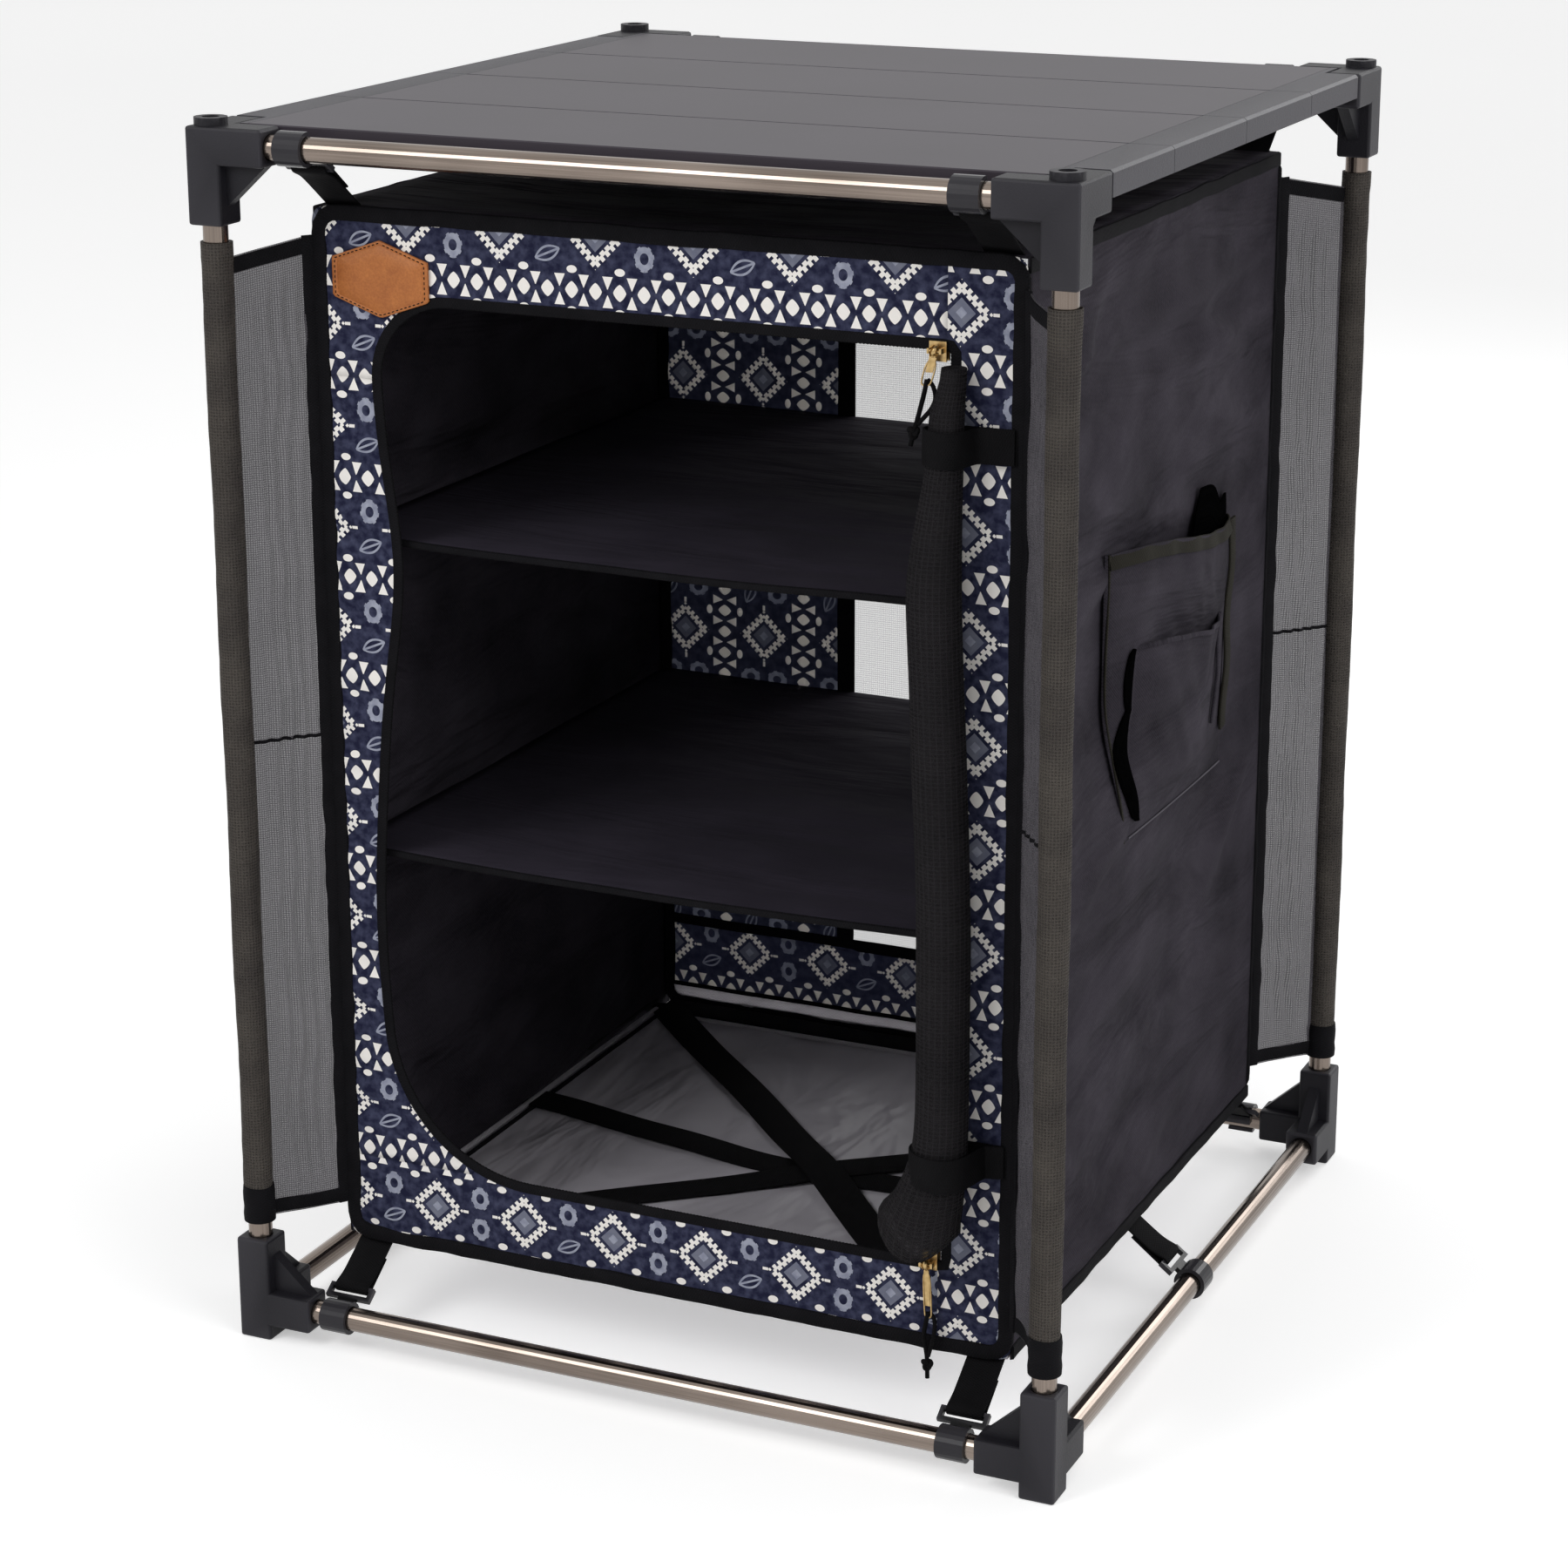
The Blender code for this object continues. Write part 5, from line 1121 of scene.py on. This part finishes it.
# the mouth's lining stands up behind the front panel in two lobes, near-black and without shine as painted shade of
# the pocket's inside
lining = {"from": 0.046, "to": 0.1415, "low": 0.470, "shoulder": 0.505, "high": 0.559, "out": 0.0050,
          "thick": 0.0010}


def liningPlace(y, v):
    crest = lining["shoulder"] + (lining["high"] - lining["shoulder"]) * ease(y, 0.054, 0.070)
    crest -= 0.017 * ease(y, 0.080, 0.140) + 0.010 * gauss(y, 0.107, 0.011) + 0.030 * ease(y, 0.130, 0.1415)
    out = lining["out"] * math.sin(math.pi * (y - lining["from"]) / (lining["to"] - lining["from"]))
    return Vector((pocket["foot"] + 0.0012 + out * (0.4 + v), y, lining["low"] + (crest - lining["low"]) * v))


cloth = sheetPiece("pocket_lining", shadeBlackCloth, steps(lining["from"], lining["to"], 0.004), steps(0.0, 1.0, 0.09),
                   liningPlace, thick=lining["thick"])
# the small pocket's gusset gapes at its front edge in two lobes, filled with a near-black sheet without shine as
# painted shade of the gap
gusset = {"width": 0.0165, "upper": 0.0085, "notch": 0.66, "least": 0.0012, "under": 0.002, "thick": 0.0012}


# how far the large pocket stands out at a place on the panel
def largeSurface(y, z):
    (y0, y1), (z0, z1) = pocket["large"]["y"], pocket["large"]["z"]
    drawn = pocket["large"]["gather"] * ease(0.55 - (z - z0) / (z1 - z0), 0.0, 0.55)
    flat = (y - drawn * (1 + y0 / (y1 - y0))) / (1 - drawn / (y1 - y0))
    return largePlace(max(y0, flat), z).x


def gussetPlace(share, v):
    notch, (z0, z1) = gusset["notch"], pocket["small"]["z"]
    lobe = gusset["width"] * math.sin(math.pi * v / notch) ** 0.3 if v < notch else \
        gusset["upper"] * math.sin(math.pi * (v - notch) / (1 - notch)) ** 0.5
    edge = smallPlace(pocket["small"]["y"][0], z0 + v * (z1 - z0))
    y = edge.y + gusset["under"] - (lobe + gusset["least"]) * share
    lift = 0.0016 + 0.0020 * math.sin(math.pi * share)
    return Vector((max(edge.x, largeSurface(y, edge.z)) + lift, y, edge.z))


sheetPiece("pocket_side_fold", shadeBlackCloth, steps(0.0, 1.0, 0.125), steps(0.001, 0.999, 0.025), gussetPlace,
           thick=gusset["thick"])
line = [largePlace(y, pocket["large"]["z"][0] + 0.0015) + Vector((0.0012, 0, 0)) for y in steps(-0.090, 0.142, 0.006)]
stripPiece("pocket_foot_seam", seamThread, [(line, (1, 0, 0), roundProfile(pocket["seam"], 6))])
print("pocket made")


# Studio

studio = {
    "sky": 0.50, "paleFloor": 0.42, "floorHalf": 30, "aim": (0, 0, 0.4),
    # lamps: place, size and power; each makes the bright line on one set of tubes
    "lamps": {"key": ((-1.3, -2.6, 2.4), 1.5, 34.0), "side": ((2.4, -1.1, 1.7), 2.0, 24.0),
              "rim": ((0.9, 2.7, 1.8), 1.6, 24.0)},
}


# one value for the rays that reach the camera, straight, mirrored or through glass, and one for the rest
def seenRays(tree, other, seen):
    path = addNode(tree, "ShaderNodeLightPath").outputs
    first = addNode(tree, "ShaderNodeMath", {0: path["Is Camera Ray"], 1: path["Is Glossy Ray"]}, operation='MAXIMUM')
    both = addNode(tree, "ShaderNodeMath", {0: first.outputs[0], 1: path["Is Transmission Ray"]}, operation='MAXIMUM')
    return addNode(tree, "ShaderNodeMapRange", {"Value": both.outputs[0], "To Min": other, "To Max": seen}).outputs[0]


bm = bmesh.new()
bmesh.ops.create_grid(bm, x_segments=2, y_segments=2, size=studio["floorHalf"])
mesh = bpy.data.meshes.new("studio floor")
bm.to_mesh(mesh)
bm.free()
ground = bpy.data.objects.new("studio_floor", mesh)
bpy.context.scene.collection.objects.link(ground)
ground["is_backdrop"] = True
material, tree, place = newMaterial("painted studio floor", "Generated", {
    "Roughness": 0.9, "Specular IOR Level": 0.2, "Emission Color": (1, 1, 1, 1)})
speck = addNode(tree, "ShaderNodeTexNoise", {"Vector": place, "Scale": 14.0, "Detail": 6.0}).outputs[0]
tone = addNode(tree, "ShaderNodeMix", {0: speck, 6: "#ededed", 7: "#f7f7f7"}, data_type='RGBA')
mesh.materials.append(linkShader(material, {"Base Color": tone.outputs[2],
                                            "Emission Strength": seenRays(tree, 0.0, studio["paleFloor"])}))

world = bpy.data.worlds.new("studio")
bpy.context.scene.world = world
world.use_nodes = True
tree = world.node_tree
background = tree.nodes["Background"]
level = seenRays(tree, studio["sky"], 1.0)
background.inputs["Color"].default_value = (1, 1, 1, 1)
tree.links.new(level, background.inputs["Strength"])

for name, (place, size, power) in studio["lamps"].items():
    lamp = bpy.data.objects.new(name, bpy.data.lights.new(name, 'AREA'))
    lamp.data.shape, lamp.data.size, lamp.data.energy = 'DISK', size, power
    lamp.location = place
    lamp.rotation_euler = (Vector(place) - Vector(studio["aim"])).to_track_quat('Z', 'Y').to_euler()
    bpy.context.scene.collection.objects.link(lamp)
bpy.context.scene.view_settings.view_transform = 'Standard'
print("studio made")

low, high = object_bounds()
